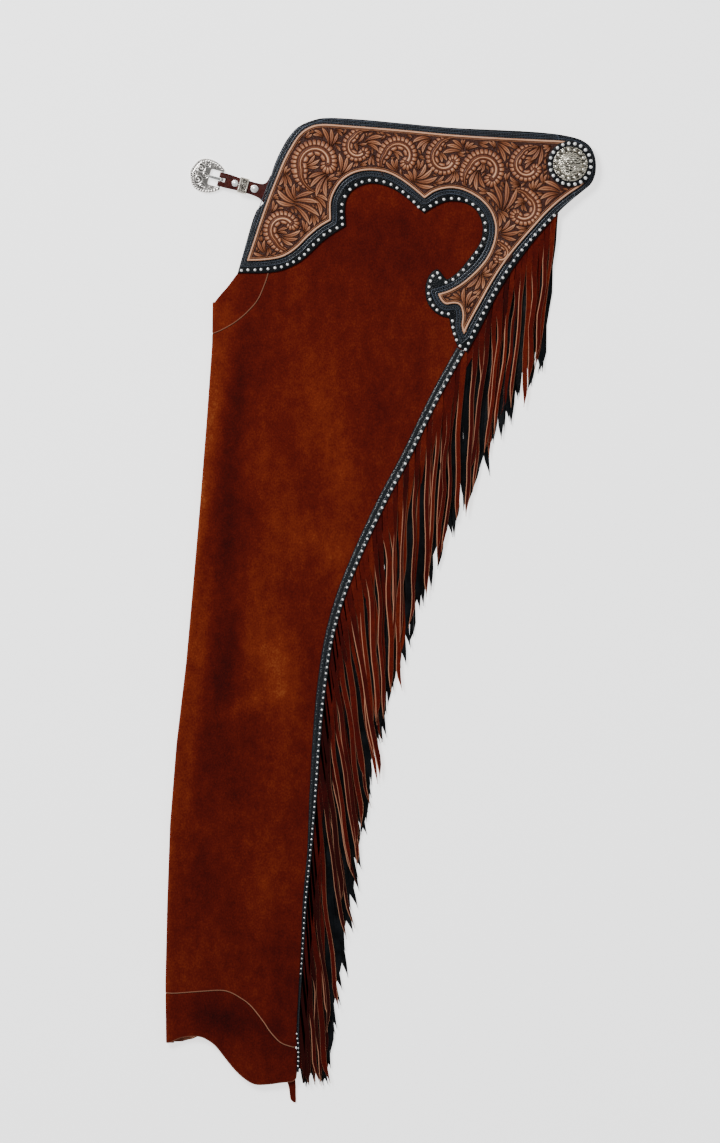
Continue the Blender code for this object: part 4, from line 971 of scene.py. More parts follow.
welt_line = open_line(SEAM_LINE, 2.0)
welt_line = welt_line[welt_line[:, 1] < 285.3]
along, _ = directions(welt_line)
to_left = np.column_stack([along[:, 1], -along[:, 0]])
points = []
for place, outward in zip(welt_line, to_left):
    left = table_value(WELT_WIDTHS, place[1], 1)
    right = table_value(WELT_WIDTHS, place[1], 2)
    calm = min(left / 5.0, 1.0)
    for across, rise in WELT_SECTION:
        offset = across * (left if across < 0 else right)
        lifted = rise if across > -0.3 else rise * (0.55 + 0.45 * calm)
        points.append((*(place - outward * offset), YOKE_BOTTOM + lifted))
size = len(WELT_SECTION)
faces = []
for row in range(len(welt_line) - 1):
    faces += ring_faces(row * size, (row + 1) * size, size)
faces.append(list(reversed(range(size))))
faces.append([(len(welt_line) - 1) * size + corner for corner in range(size)])
welt_leather = black_material("welt_leather", (0.005, 0.008, 0.012), 0.3, 260, 0.2, 0.3)
welt = new_piece("welt", points, faces, welt_leather)
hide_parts("seam_welt")

# %% Tables of the fringe
FIRST_ROOT = 13.0
# Heading beyond the seam: distance along the seam, width
HEADING_WIDTHS = [(0, 1.5), (12.0, 12.0), (400, 12.0), (600, 10.5), (960, 9.5), (1000, 7.0)]
# Lean of the strands to the right of straight down: y of the root, degrees
STRAND_LEANS = [
    (-500, 11.0), (-420, 7.5), (-346, 7.0), (-236, 8.8), (-148, 10.3), (-38, 11.3), (28, 8.8),
    (72, 5.5), (116, 1.8), (160, -0.8), (204, -1.8), (248, -2.5), (418, -2.5),
]
STRAND_LENGTHS = [(-280, 172), (-140, 178), (60, 182), (200, 178), (330, 166), (420, 148)]
FRINGE_TRIM = -524.0
# Distance along the seam, factor: strands get wider towards the hem, and lie closer together
WIDER = [(0, 1.0), (450, 1.05), (1000, 1.3)]
CROWDED = [(0, 1.0), (350, 0.95), (600, 0.85), (1000, 0.7)]
# A strand lies so much higher for each one below it
LAYER = 1.35
STRAND_THICK = 1.2


def seam_samples():
    """Points one millimetre apart down the outer seam, and its direction to the right."""
    dense = open_line(SEAM_LINE, 2.0)
    lengths = lengths_along(dense)
    marks = np.arange(0, lengths[-1], 1.0)
    points = at_lengths(marks, lengths, dense)
    ahead = np.gradient(points, axis=0)
    padded = np.pad(ahead, ((10, 10), (0, 0)), "edge")
    ahead = np.stack([np.convolve(padded[:, axis], np.ones(21) / 21, "valid") for axis in (0, 1)], axis=1)
    ahead /= np.linalg.norm(ahead, axis=1, keepdims=True)
    return marks, points, left_of(ahead)


SEAM_MARKS, SEAM_POINTS, SEAM_RIGHT = seam_samples()


def at_mark(values, mark):
    return at_lengths(mark, SEAM_MARKS, values)


def heading_edge(mark):
    return at_mark(SEAM_POINTS, mark) + table_value(HEADING_WIDTHS, mark) * at_mark(SEAM_RIGHT, mark)


def strand_way(y, turned=0.0):
    lean = math.radians(table_value(STRAND_LEANS, y) + turned)
    return np.array([math.sin(lean), -math.cos(lean)])


def length_on_heading(root, way):
    """How far a strand's cut runs up over the heading before it meets the welt."""
    for back in range(3, 70, 3):
        place = root - way * back
        nearest = np.argmin(np.hypot(*(SEAM_POINTS - place).T))
        if (place - SEAM_POINTS[nearest]) @ SEAM_RIGHT[nearest] < 1.0:
            return float(back)
    return 70.0


# %% Rings of a fringe, and its heading
ROOT_THICK = 1.4
HEADING_SUNK = 0.7


class FringeMesh:
    """Collects rings of points and the faces between them, with what is painted on them."""

    def __init__(self):
        self.points = []
        self.faces = []
        self.raw = []
        self.nap_and_shading = []

    def add_ring(self, ring, bare, tone):
        start = len(self.points)
        self.points.extend(ring)
        self.raw.extend(bare)
        self.nap_and_shading.extend([tone] * len(ring))
        return start


def add_heading(mesh, root_top):
    """The uncut strip along the seam that the strands hang from."""
    rings = []
    low = root_top - ROOT_THICK
    high = root_top - HEADING_SUNK
    for mark in np.arange(0, SEAM_MARKS[-1], 4.0):
        inner = at_mark(SEAM_POINTS, mark)
        outer = heading_edge(mark)
        ring = [(*inner, low), (*inner, high), (*outer, high), (*(outer + 0.01), low)]
        waves = 0.3 * math.sin(mark / 31) + 0.2 * math.sin(mark / 12 + 1)
        tone = waves - 1.0 * smooth_step((mark - 250) / 400)
        rings.append(mesh.add_ring(ring, [0, 0, 0, 0], tone))
    for first, second in zip(rings, rings[1:]):
        mesh.faces += ring_faces(first, second, 4)
    mesh.faces.append([rings[0] + corner for corner in (3, 2, 1, 0)])
    mesh.faces.append([rings[-1] + corner for corner in range(4)])


# %% One strand
SHORTEST_STRAND = 9
LOWEST = 0.15


def cut_strand(chance, mark, width, edge, longer, slims, spread):
    """Draws a strand's length, lean and cut by lot. None stands for one too short to keep."""
    root = heading_edge(mark)
    length = table_value(STRAND_LENGTHS, root[1]) + longer + chance.uniform(-16, 12)
    way = strand_way(root[1], spread * chance.uniform(-3.0, 1.0) - 1.0)
    length = min(length, (root[1] - FRINGE_TRIM) / max(-way[1], 0.1) + chance.uniform(-5, 0))
    if length < SHORTEST_STRAND:
        return None
    side = np.array([-way[1], way[0]])
    return SimpleNamespace(
        root=root,
        way=way,
        side=side,
        edge=-edge if edge @ side < 0 else edge,
        length=length,
        width=width,
        drift=spread * chance.uniform(-2.6, 2.6),
        sway=chance.uniform(0.5, 1.5),
        wave=chance.uniform(60, 110),
        phase=chance.uniform(0, math.tau),
        shared=1.8 * math.sin(mark / 64 + 0.7) + 1.1 * math.sin(mark / 23 + 2.1),
        hook=chance.uniform(-2.2, 2.2),
        slim=chance.uniform(*slims),
        roll=chance.uniform(-0.16, 0.16),
        pale_left=chance.choice([0.9, 0.75, 0.6, 0.2]),
        pale_right=chance.choice([0.15, 0.15, 0.15, 0.5]),
        slant=chance.choice([-1, 1]),
        tone=chance.uniform(-1.0, 0.5) - 0.8 * smooth_step((120 - root[1]) / 400),
        back=length_on_heading(root, way),
    )


def strand_stops(length, back):
    """Distances down a strand where it gets a ring, from the welt to its tip."""
    stops = [-back, -0.6 * back, -0.25 * back]
    stops += [stop for stop in (0, 7, 16, 26, 38, 52, 68, 86, 104, 124, 144) if stop < length - 26]
    stops += [length - share for share in (24, 15, 8, 3, 0) if length - share > stops[-1] + 1]
    return stops


def strand_section(half, thick, left_slope, right_slope):
    """Across, rise and bare leather at the six corners of a strand, whose cut sides slope."""
    return [
        (-half, 0.0, 1),
        (-half + left_slope, thick - 0.12, 1),
        (-half + left_slope + 0.06, thick, 0),
        (half - right_slope - 0.06, thick, 0),
        (half - right_slope, thick - 0.12, 1),
        (half, 0.0, 1),
    ]


def hang_strand(mesh, strand, root_top, settled):
    """Carries a strand's section over the heading and down to a slanted tip."""
    before = None
    for stop in strand_stops(strand.length, strand.back):
        share = max(stop, 0) / strand.length
        fall = smooth_step(stop / 34)
        bend = math.sin(math.tau * stop / strand.wave + strand.phase) - math.sin(strand.phase)
        swing = 0.8 * strand.shared * math.sin(math.pi * min(share * 1.7, 1))
        swing += strand.sway * bend * smooth_step(stop / 40)
        swing += strand.drift * share**1.4 + strand.hook * smooth_step((share - 0.75) * 4) ** 2
        middle = strand.root + strand.way * stop + strand.side * swing
        half = strand.width / 2 * (1 - (1 - strand.slim) * smooth_step(stop / 45)) - 0.2
        tip = smooth_step((strand.length - stop) / 24) ** 0.7
        near_root = smooth_step((30 - stop) / 30)
        across = strand.side * (1 - near_root) + strand.edge * near_root
        across = across / abs(across @ strand.side)
        middle = middle + strand.side * strand.slant * half * (1 - tip) * 0.8
        half = max(half * tip, 0.28)
        low = (root_top - ROOT_THICK) * (1 - fall) + settled * fall
        thick = ROOT_THICK * (1 - fall) + STRAND_THICK * fall
        turn = strand.roll * fall * tip
        left_slope = min(strand.pale_left * fall, half * 0.7)
        right_slope = min(strand.pale_right * fall, half * 0.5)
        section = strand_section(half, thick, left_slope, right_slope)
        ring = []
        for offset, rise, _ in section:
            ring.append((*(middle + across * offset), max(low + rise + offset * turn, LOWEST)))
        after = mesh.add_ring(ring, [row[2] for row in section], strand.tone)
        if before is None:
            mesh.faces.append([after + corner for corner in range(6)])
        else:
            mesh.faces += ring_faces(after, before, 6)
        before = after
    mesh.faces.append([before + corner for corner in reversed(range(6))])


# %% One layer of fringe
def fringe_layer(
    name, material, seed, width, root_top, low_slots,
    longer=0, crowd=1.0, missing=0.0, slims=(0.62, 0.98), spread=1.0,
):
    """A heading along the seam and the strands cut from it, as one mesh."""
    chance = random.Random(seed)
    total = SEAM_MARKS[-1] - 4
    mesh = FringeMesh()
    add_heading(mesh, root_top)
    mark = FIRST_ROOT
    number = 0
    while mark < total:
        edge = heading_edge(mark + 1) - heading_edge(mark - 1)
        edge /= np.linalg.norm(edge)
        way = strand_way(heading_edge(mark)[1])
        skew = max(abs(edge[0] * way[1] - edge[1] * way[0]), 0.13)
        own_width = width * chance.uniform(0.82, 1.18) * table_value(WIDER, mark)
        step = own_width / skew * table_value(CROWDED, mark) * crowd
        middle_mark = min(mark + step / 2, total)
        mark += step
        slot = low_slots[number % len(low_slots)]
        number += 1
        if chance.random() < missing:
            continue
        strand = cut_strand(chance, middle_mark, own_width, edge, longer, slims, spread)
        if strand is not None:
            hang_strand(mesh, strand, root_top, 0.4 + LAYER * slot)
    marks = {"raw": mesh.raw, "nap_and_shading": mesh.nap_and_shading}
    print(name, "has room for", number, "strands")
    return new_piece(name, mesh.points, mesh.faces, material, marks, smooth=30)


# %% Brown fringe over black fringe
fringe_suede = suede_material("fringe_suede", 0.06)
black_strip = black_material("black_strip", (0.0009, 0.0010, 0.0012), 0.36, 260, 0.1, 0.07)
brown_fringe = fringe_layer(
    "brown_fringe", fringe_suede, 7, 6.2, LEG_TOP, (3, 4, 2, 3.6), longer=2, missing=0.06
)
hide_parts("fringe_brown")
black_layer = fringe_layer(
    "black_fringe_strands", black_strip, 23, 7.0, 6.7, (0, 1, 1.8),
    crowd=0.48, slims=(0.85, 1.0), spread=0.4,
)
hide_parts("fringe_black")

# %% [markdown]
# ## Silver spots
#
# A spot is a small nickel dome with prongs that are bent over behind the leather. It is modelled
# once: a sphere cut in half and pressed lower. Then it is copied to every place, at the pitch at
# which a saddler sets them, a spot's width apart or less. The spots shrink towards the hem.

# %% Bright silver
def silver_material(name, colour=(0.80, 0.79, 0.76), roughness=0.16, metal=1.0):
    material, shader = new_material(name, colour, roughness, metal)
    smears = pattern(material, "ShaderNodeTexNoise", 130, Detail=4, Roughness=0.6)
    tarnish = colour_ramp(
        material, smears.outputs["Fac"], [(0.3, *(0.72 * value for value in colour)), (0.62, *colour)]
    )
    # dark turns a point dark grey: painted shade at the feet of spots and pearls, patina in cut lines
    dark = mark(material, "dark")
    join(material, blended(material, dark, tarnish, (0.035, 0.033, 0.030)), shader.inputs["Base Color"])
    rough = math_node(material, "MULTIPLY", smears.outputs["Fac"], 0.16)
    join(material, math_node(material, "ADD", rough, roughness - 0.06), shader.inputs["Roughness"])
    return material


silver = silver_material("silver")
spot_silver = silver_material("spot_silver", (0.98, 0.98, 0.97), 0.24, 0.5)
warm_silver = silver_material("warm_silver", (0.86, 0.79, 0.68), 0.2)

# %% One spot
nothing_selected()
bpy.ops.mesh.primitive_uv_sphere_add(segments=14, ring_count=8, radius=1.0)
spot = bpy.context.object
bpy.ops.object.mode_set(mode="EDIT")
bpy.ops.mesh.select_all(action="SELECT")
bpy.ops.mesh.bisect(plane_co=(0, 0, 0), plane_no=(0, 0, 1), clear_inner=True, use_fill=True)
bpy.ops.mesh.select_all(action="SELECT")
bpy.ops.transform.resize(value=(1, 1, 0.72))
bpy.ops.object.mode_set(mode="OBJECT")
spot_shape = taken(spot)
# Painted shade: each dome darkens towards its foot, for the dark rim round a glossy dome's bright middle
spot_rim_shade = 0.95 * (1 - np.clip(spot_shape[0][:, 2] / 0.72, 0, 1)) ** 1.3
print("spot:", len(spot_shape[1]), "faces")

# %% Spots round the yoke, down the welt and round the concho
YOKE_SPOTS = [
    (241.5, 270.5), (248, 270), (255, 270), (261, 269.5), (268, 269), (275, 268), (281.5, 267),
    (287.5, 264.5), (293.5, 262), (299.5, 258.5), (304.5, 254.5), (308.5, 250), (313.5, 245),
    (318.5, 240), (324, 235), (330, 231), (337, 228), (342.5, 224.5), (342, 218), (341.5, 211.5),
    (342, 204.5), (345, 196.5), (350, 189.5), (356, 185), (362, 182), (369.5, 180.5), (376.5, 180.5),
    (384, 182), (391, 184.5), (397, 188), (403, 192), (408.5, 197), (414, 202), (418.5, 207),
    (424, 210), (430.5, 206), (436.5, 202.5), (444, 199.5), (451.5, 198.5), (459, 199), (466.5, 200.5),
    (473, 204.5), (478.5, 209.5), (482.5, 215.5), (485, 223), (485.5, 230.5), (484, 239), (481, 246),
    (476.5, 252.5), (472.5, 258.5), (469, 264.5), (463.5, 270), (458.5, 275), (453, 279.5),
    (446, 282.5), (440, 278), (437.5, 273), (433, 276), (430.5, 281), (429, 287), (428.5, 293.5),
    (430, 299.5), (433, 305.5), (437, 310), (442, 313), (448.5, 314), (452.5, 321), (453, 327.5),
    (454.5, 334), (456.5, 340), (460, 346),
]
SEAM_SPOTS = [(554, 215.5), (546, 223.5), (529, 241.5), (513, 262), (498, 286), (481, 318), (465.5, 349.5)]
LOW_SPOTS = [
    (296.8, 1033.8), (297.3, 1038.5), (298, 1043), (298.2, 1048), (298.3, 1052.2), (298.3, 1056.7),
    (298.3, 1061), (297.9, 1066),
]
# Pitch of the spots down the welt: y in the photograph's frame, pitch, radius
WELT_PITCH = [
    (354, 7.2, 1.7), (480, 7.2, 1.65), (550, 6.6, 1.5), (670, 6.2, 1.3), (820, 5.4, 1.05), (975, 5.0, 0.85),
]
# Where the evenly set spots down the welt start and end, in the photograph's frame
WELT_SPOTS_FROM = 354.3
WELT_SPOTS_TO = 974
YOKE_SPOT_RADIUS = 1.75
SPOT_ON_YOKE = YOKE_TOP - 0.15
SPOT_ON_WELT = YOKE_BOTTOM + 1.35
CONCHO_CENTRE = (194.9, 490.5)
ROSETTE_LOBES = 21
ROSETTE_RADIUS = 25.6
ROSETTE_BOTTOM = TOOLED_TOP + 0.3
ROSETTE_THICK = 1.5
ROSETTE_SPOT_RING = 22.6


def around_concho(reach, angle):
    """Ground place at a distance and an angle from the middle of the concho."""
    return CONCHO_CENTRE[0] + reach * math.cos(angle), CONCHO_CENTRE[1] + reach * math.sin(angle)


places = [(*from_photo(*place), SPOT_ON_YOKE) for place in YOKE_SPOTS]
sizes = [YOKE_SPOT_RADIUS] * len(places)
diagonal, _ = evenly(open_line([from_photo(*place) for place in SEAM_SPOTS], 2.0), 7.4)
places += [(*place, SPOT_ON_YOKE) for place in diagonal]
sizes += [YOKE_SPOT_RADIUS] * len(diagonal)
distance = 0.0
along_welt = open_line(SEAM_LINE, 1.0)
along_welt = along_welt[along_welt[:, 1] < from_photo(0, WELT_SPOTS_FROM)[1]]
lengths = lengths_along(along_welt)
while True:
    place = at_lengths(distance, lengths, along_welt)
    down = PHOTO_ORIGIN[1] - place[1] * MM / PIXEL
    if down > WELT_SPOTS_TO:
        break
    places.append((*place, SPOT_ON_WELT))
    sizes.append(table_value(WELT_PITCH, down, 2))
    distance += table_value(WELT_PITCH, down, 1) * PIXEL / MM
places += [(*from_photo(*place), SPOT_ON_WELT) for place in LOW_SPOTS]
sizes += [1.0] * len(LOW_SPOTS)
for number in range(ROSETTE_LOBES):
    angle = math.tau * (number + 0.5) / ROSETTE_LOBES
    places.append((*around_concho(ROSETTE_SPOT_RING, angle), ROSETTE_BOTTOM + 1.4))
    sizes.append(2.0)
# Every spot gets that painted shade towards its foot
rim_shade = np.tile(spot_rim_shade, len(places))
spots = new_piece("spots", *copies(spot_shape, np.array(places), sizes=sizes), spot_silver, {"dark": rim_shade})
print(len(places), "spots")

# %% [markdown]
# ## The carved overlay
#
# Carving starts with a drawing of scrolls, cut into damp leather with a swivel knife. The
# background is then beaten down and matted, so that the flowers and leaves stand up, and every
# petal is bevelled and veined with small stamps. At the end a dark antique paste is rubbed in and
# wiped off the high places. The layout here is an own one: a generic acanthus scroll, with spiral
# stems, scalloped flowers and leaves that branch off them. Each leaf is a small dome with a
# hollow along it, set on the matted ground, and a value called tone says how high a point
# stands, which is also how much of the dark paste was wiped off there.


# %% Tooled leather material
TOOLED_COLOURS = [
    (0.00, 0.0070, 0.0014, 0.0007),
    (0.30, 0.0440, 0.0085, 0.0030),
    (0.52, 0.1300, 0.0360, 0.0135),
    (0.76, 0.3100, 0.1230, 0.0580),
    (1.00, 0.5900, 0.3150, 0.1900),
]


def tooled_material(name):
    material, shader = new_material(name, (0.2, 0.08, 0.03), 0.42)
    blotches = pattern(material, "ShaderNodeTexNoise", 45, Detail=5, Roughness=0.6)
    grain = pattern(material, "ShaderNodeTexNoise", 520, Detail=3, Roughness=0.6)
    stamps = pattern(material, "ShaderNodeTexVoronoi", 950)
    tone = mark(material, "tone")
    for texture, strength in ((blotches, 0.34), (grain, 0.22)):
        offset = math_node(material, "SUBTRACT", texture.outputs["Fac"], 0.5)
        tone = math_node(material, "ADD", tone, math_node(material, "MULTIPLY", offset, strength))
    join(material, colour_ramp(material, tone, TOOLED_COLOURS), shader.inputs["Base Color"])
    shader.inputs["Specular IOR Level"].default_value = 0.2
    matted = math_node(material, "MULTIPLY", stamps.outputs["Distance"], mark(material, "matted"))
    bumped(material, shader, (grain.outputs["Fac"], 0.12), (matted, 0.55))
    return material


tooled = tooled_material("tooled_leather")


# %% Petals
def petal(spine, half_widths, base, rise, sides=9, hollow=0.7, light=0.95):
    """A long dome along a spine, with a cut down its middle. Gives points, faces and tones."""
    spine = np.asarray(spine, float)
    ahead, _ = directions(spine)
    left = left_of(ahead)
    points = []
    tones = []
    for number, (place, side, half) in enumerate(zip(spine, left, half_widths)):
        run = number / (len(spine) - 1)
        for share in np.linspace(-1, 1, sides):
            dome = 1 - abs(share) ** 3
            cut = hollow * math.exp(-((share / 0.16) ** 2)) * min(run * 6, (1 - run) * 4, 1)
            height = rise * dome * (1 - 0.5 * cut)
            points.append((*(place + side * half * share), base - 0.3 * (abs(share) == 1) + height))
            tone = light * (0.06 + 0.94 * dome**0.6) * (1 - 0.8 * cut) * (0.62 + 0.38 * run)
            tones.append(tone + 0.06 * share)
    faces = []
    for row in range(len(spine) - 1):
        for column in range(sides - 1):
            first = row * sides + column
            faces.append([first, first + sides, first + sides + 1, first + 1])
    return points, faces, tones


def arc(start, heading, length, turning, count):
    """A spine that starts at a place and turns evenly. Angles in radians."""
    places = [np.array(start, float)]
    angle = heading
    for _ in range(count - 1):
        angle += turning / (count - 1)
        places.append(places[-1] + length / (count - 1) * np.array([math.cos(angle), math.sin(angle)]))
    return np.array(places)


def leaf_widths(count, half, fullest=1.5):
    """Half widths of a drop shape: a fine root, fullest past its middle, and a round end."""
    shares = np.linspace(0, 1, count)
    return np.maximum(half * np.sin(np.pi * shares**fullest) ** 0.75, 0.12)


# %% The carving keeps a map of what is already carved
class Carving:
    """Collects petals, and a coarse map of the places that are still free."""

    cell = 0.8

    def __init__(self, edge, keep_clear):
        self.points = []
        self.faces = []
        self.tones = []
        self.low = edge.min(axis=0)
        size = np.ceil((edge.max(axis=0) - self.low) / self.cell).astype(int) + 1
        rows, columns = np.mgrid[0 : size[1], 0 : size[0]]
        self.centres = np.stack([columns * self.cell + self.low[0], rows * self.cell + self.low[1]], axis=2)
        flat = self.centres.reshape(-1, 2)
        allowed = inside(flat, edge)
        for place, radius in keep_clear:
            allowed &= np.hypot(*(flat - place).T) > radius
        self.free = allowed.reshape(size[1], size[0])
        self.allowed = self.free.copy()

    def add(self, points, faces, tones):
        start = len(self.points)
        self.points.extend(points)
        self.tones.extend(tones)
        self.faces.extend([[start + index for index in face] for face in faces])

    def covered(self, spine, half_widths):
        """Rows and columns of the map's cells under a spine, or None where it leaves the map."""
        rows = []
        columns = []
        for place, half in zip(spine, half_widths):
            reach = max(half, self.cell * 0.5)
            low = np.floor((place - reach - self.low) / self.cell).astype(int)
            high = np.ceil((place + reach - self.low) / self.cell).astype(int)
            if low.min() < 0 or high[0] >= self.free.shape[1] or high[1] >= self.free.shape[0]:
                return None
            block = self.centres[low[1] : high[1] + 1, low[0] : high[0] + 1]
            near = np.nonzero(np.hypot(block[..., 0] - place[0], block[..., 1] - place[1]) <= reach)
            rows.append(near[0] + low[1])
            columns.append(near[1] + low[0])
        return np.concatenate(rows), np.concatenate(columns)

    def share_free(self, spine, half_widths):
        cells = self.covered(spine, half_widths)
        return 0.0 if cells is None else float(self.free[cells].mean())

    def stays_inside(self, spine, half_widths):
        cells = self.covered(spine, half_widths)
        return cells is not None and bool(self.allowed[cells].all())

    def is_clear(self, place):
        row, column = np.round((place[::-1] - self.low[::-1]) / self.cell).astype(int)
        shape = self.allowed.shape
        return 0 <= row < shape[0] and 0 <= column < shape[1] and self.allowed[row, column]

    def take(self, spine, half_widths):
        cells = self.covered(spine, half_widths)
        if cells is not None:
            self.free[cells] = False


GROUND = 12.6
area = np.cross(tooled_edge, np.roll(tooled_edge, -1, axis=0)).sum()
edge_side = 1 if area > 0 else -1
carved_edge = shifted_line(evenly(tooled_edge, 1.5, closed=True)[0], edge_side * 4.0, closed=True)
CLEAR_OF_ROSETTE = 26.2
carving = Carving(carved_edge, [(CONCHO_CENTRE, CLEAR_OF_ROSETTE)])
chance = random.Random(41)

# %% Scrolls
# A scroll leaf curls like a comma: middle x, y, radius, angle of its root, turns in degrees
SCROLLS = [
    (-120, 419, 25, 235, -190), (-84, 492, 30, 205, -205), (-38, 509, 20, 115, 190),
    (7, 499, 25, 170, -200), (57, 497, 23, 125, 205), (101, 483, 27, 165, -205),
    (148, 489, 22, 120, 200), (143, 441, 23, 65, -190), (118, 392, 15, 75, -180),
]


def scroll(x, y, radius, root_angle, turns):
    """A curled leaf: a ridge along its middle, and scalloped lobes on both sides and round its end."""
    winding = 1 if turns > 0 else -1
    spine = []
    for share in np.linspace(-0.3, 1, 70):
        angle = math.radians(root_angle + turns * share)
        reach = radius * (0.62 - 0.20 * share + 1.3 * max(-share, 0))
        spine.append((x + reach * math.cos(angle), y + reach * math.sin(angle)))
    spine, _ = evenly(np.array(spine), 0.8)
    ahead, _ = directions(spine)
    left = left_of(ahead)
    outer_side = -winding
    count = len(spine)
    shares = np.linspace(0, 1, count)
    grown = smooth_step(shares * 2.6)
    outer_reach = radius * (0.06 + 0.34 * grown) * (1 - 0.1 * shares)
    inner_reach = radius * (0.05 + 0.24 * grown) * (1 - 0.15 * shares)
    ridge_half = 0.75
    inner_ends = []
    outer_ends = []
    for number in range(count):
        side = left[number] * outer_side
        inner_ends.append(spine[number] + side * ridge_half)
        outer_ends.append(spine[number] + side * outer_reach[number])
    tip_turns = 18
    for step in range(1, tip_turns):
        share = step / tip_turns
        angle = math.pi * share
        out = left[-1] * outer_side * math.cos(angle) + ahead[-1] * math.sin(angle)
        reach = outer_reach[-1] + (inner_reach[-1] - outer_reach[-1]) * share
        inner_ends.append(spine[-1] + out * ridge_half)
        outer_ends.append(spine[-1] + out * (reach + 0.14 * radius * math.sin(angle)))
    for number in reversed(range(count)):
        side = -left[number] * outer_side
        inner_ends.append(spine[number] + side * ridge_half)
        outer_ends.append(spine[number] + side * inner_reach[number])
    inner_ends = np.array(inner_ends)
    outer_ends = np.array(outer_ends)
    run = lengths_along(outer_ends)
    lobes = round(run[-1] / 5.6)
    steps = lobes * 7
    marks = np.linspace(0, run[-1], steps + 1)
    inner_ends = at_lengths(marks, run, inner_ends)
    outer_ends = at_lengths(marks, run, outer_ends)
    depths = [0.0, 0.1, 0.2, 0.32, 0.42, 0.5, 0.62, 0.76, 0.88, 0.97, 1.0]
    points = []
    tones = []
    for step in range(steps + 1):
        phase = (step % 7) / 7
        lobe = math.sin(math.pi * phase) ** 0.4 if phase > 0 else 0.0
        near_root = min(step, steps - step) / steps
        for depth in depths:
            slanted = min(max(step - 3.0 * depth + 1.5, 0), steps)
            start = at_lengths(slanted, np.arange(steps + 1), inner_ends)
            end = outer_ends[step]
            reach = depth * (0.80 + 0.20 * lobe)
            place = start + (end - start) * reach
            if depth < 0.15:
                height, tone = 0.5 + 0.5 * (depth == 0.1), 0.25 + 0.35 * (depth == 0.1)
            elif depth < 0.4:
                hatch = 0.5 + 0.5 * math.cos(math.tau * phase * 2)
                height = 0.55 + 0.25 * (depth - 0.1)
                tone = 0.24 + 0.22 * hatch
            else:
                dome = lobe * (1 - max((depth - 0.72) / 0.28, 0) ** 2.5)
                seed = math.exp(-(((depth - 0.76) / 0.14) ** 2)) * lobe**6
                height = 0.35 + 0.8 * dome - 0.25 * seed
                tone = 0.06 + 0.86 * dome - 0.3 * seed
            if depth == 1.0:
                height, tone = -0.25, 0.06
            if not carving.is_clear(place):
                height, tone = min(height, 0.1), 0.12
            points.append((*place, GROUND + height))
            tones.append(tone * min(1.0, 0.75 + near_root * 3))
    size = len(depths)
    faces = []
    for step in range(steps):
        for depth in range(size - 1):
            first = step * size + depth
            faces.append([first, first + 1, first + size + 1, first + size])
    carving.add(points, faces, tones)
    for share in np.linspace(0, 1, 12):
        middle = inner_ends + (outer_ends - inner_ends) * share
        carving.take(middle, np.full(len(middle), 0.4))
    widths = np.linspace(0.7, 1.5, count)
    first = 0
    while not carving.stays_inside(spine[first : first + 1], widths[:1]):
        first += 1
    carving.add(*petal(spine[first:], widths[first:], GROUND, 1.45, sides=7, hollow=0.0, light=1.08))
    carving.take(spine, np.full(count, 1.0))


for row in SCROLLS:
    scroll(*row)
print("scrolls:", len(SCROLLS), "points:", len(carving.points))

# %% Leaves fan out beside the scrolls
LOBE_SIZES = [(34, 3.3), (27, 3.1), (22, 2.8), (17, 2.4), (13, 2.0), (10, 1.7), (7, 1.4), (5, 1.1)]
# A fan needs this many lobes to be kept
FAN_LEAST = (4, 4, 3, 3, 2, 2, 1, 1)


def fan(place, heading, size, curl, fewest):
    """Drop-shaped lobes that start close together and spread, longest in the middle."""
    length, half = size
    shapes = []
    for number in (0, 1, -1, 2, -2):
        share = abs(number)
        own = length * (1 - 0.13 * share)
        sideways = heading + math.pi / 2
        step = np.array([math.cos(sideways), math.sin(sideways)]) * number * half * 0.5
        spine = arc(place + step, heading + number * 0.34, own, curl + number * 0.1, 9)
        widths = leaf_widths(9, half * (1 - 0.06 * share))
        least = 0.97 if number == 0 else 0.93
        if carving.share_free(spine[3:], widths[3:] + 0.3) >= least and carving.stays_inside(spine, widths):
            shapes.append((spine, widths))
        elif number == 0:
            return 0
    if len(shapes) < fewest:
        return 0
    for spine, widths in shapes:
        carving.add(*petal(spine, widths, GROUND, 1.3, light=chance.uniform(0.85, 1.0)))
        carving.take(spine, widths + 0.3)
    return len(shapes)


def fill_with_fans(size, attempts, fewest):
    made = 0
    rows, columns = np.nonzero(carving.free)
    for _ in range(attempts):
        pick = chance.randrange(len(rows))
        if not carving.free[rows[pick], columns[pick]]:
            continue
        place = carving.centres[rows[pick], columns[pick]]
        flow = 1.5 * math.sin(place[0] / 21 + 0.6) + 1.2 * math.cos(place[1] / 15)
        for turn in (0, 0.8, -0.8, 1.6, -1.6, math.pi):
            found = fan(place, flow + turn, size, chance.choice([-1, 1]) * chance.uniform(0.6, 1.2), fewest)
            if found:
                made += found
                break
    return made


for size, fewest, attempts in zip(LOBE_SIZES, FAN_LEAST, (500, 700, 900, 900, 900, 900, 900, 900)):
    print("lobes of", size[0], "mm:", fill_with_fans(size, attempts, fewest))

# %% The overlay with its border line
overlay = leather_sheet(
    "overlay_ground",
    tooled_edge,
    9.0,
    flat_face(TOOLED_BOTTOM, GROUND),
    tooled,
    [(1.0, 0.0, 0.0), (0.5, 0.1, 0.6), (0.15, 0.3, 0.7), (0.0, 0.6, 0.6), (0.1, 1.0, 0.2)],
)
tone = overlay.data.attributes["raw"]
values = np.empty(len(overlay.data.vertices), np.float32)
tone.data.foreach_get("value", values)
for name, own in (("tone", 0.24 + values), ("matted", (values < 0.05).astype(np.float32))):
    overlay.data.attributes.new(name, "FLOAT", "POINT").data.foreach_set("value", own)
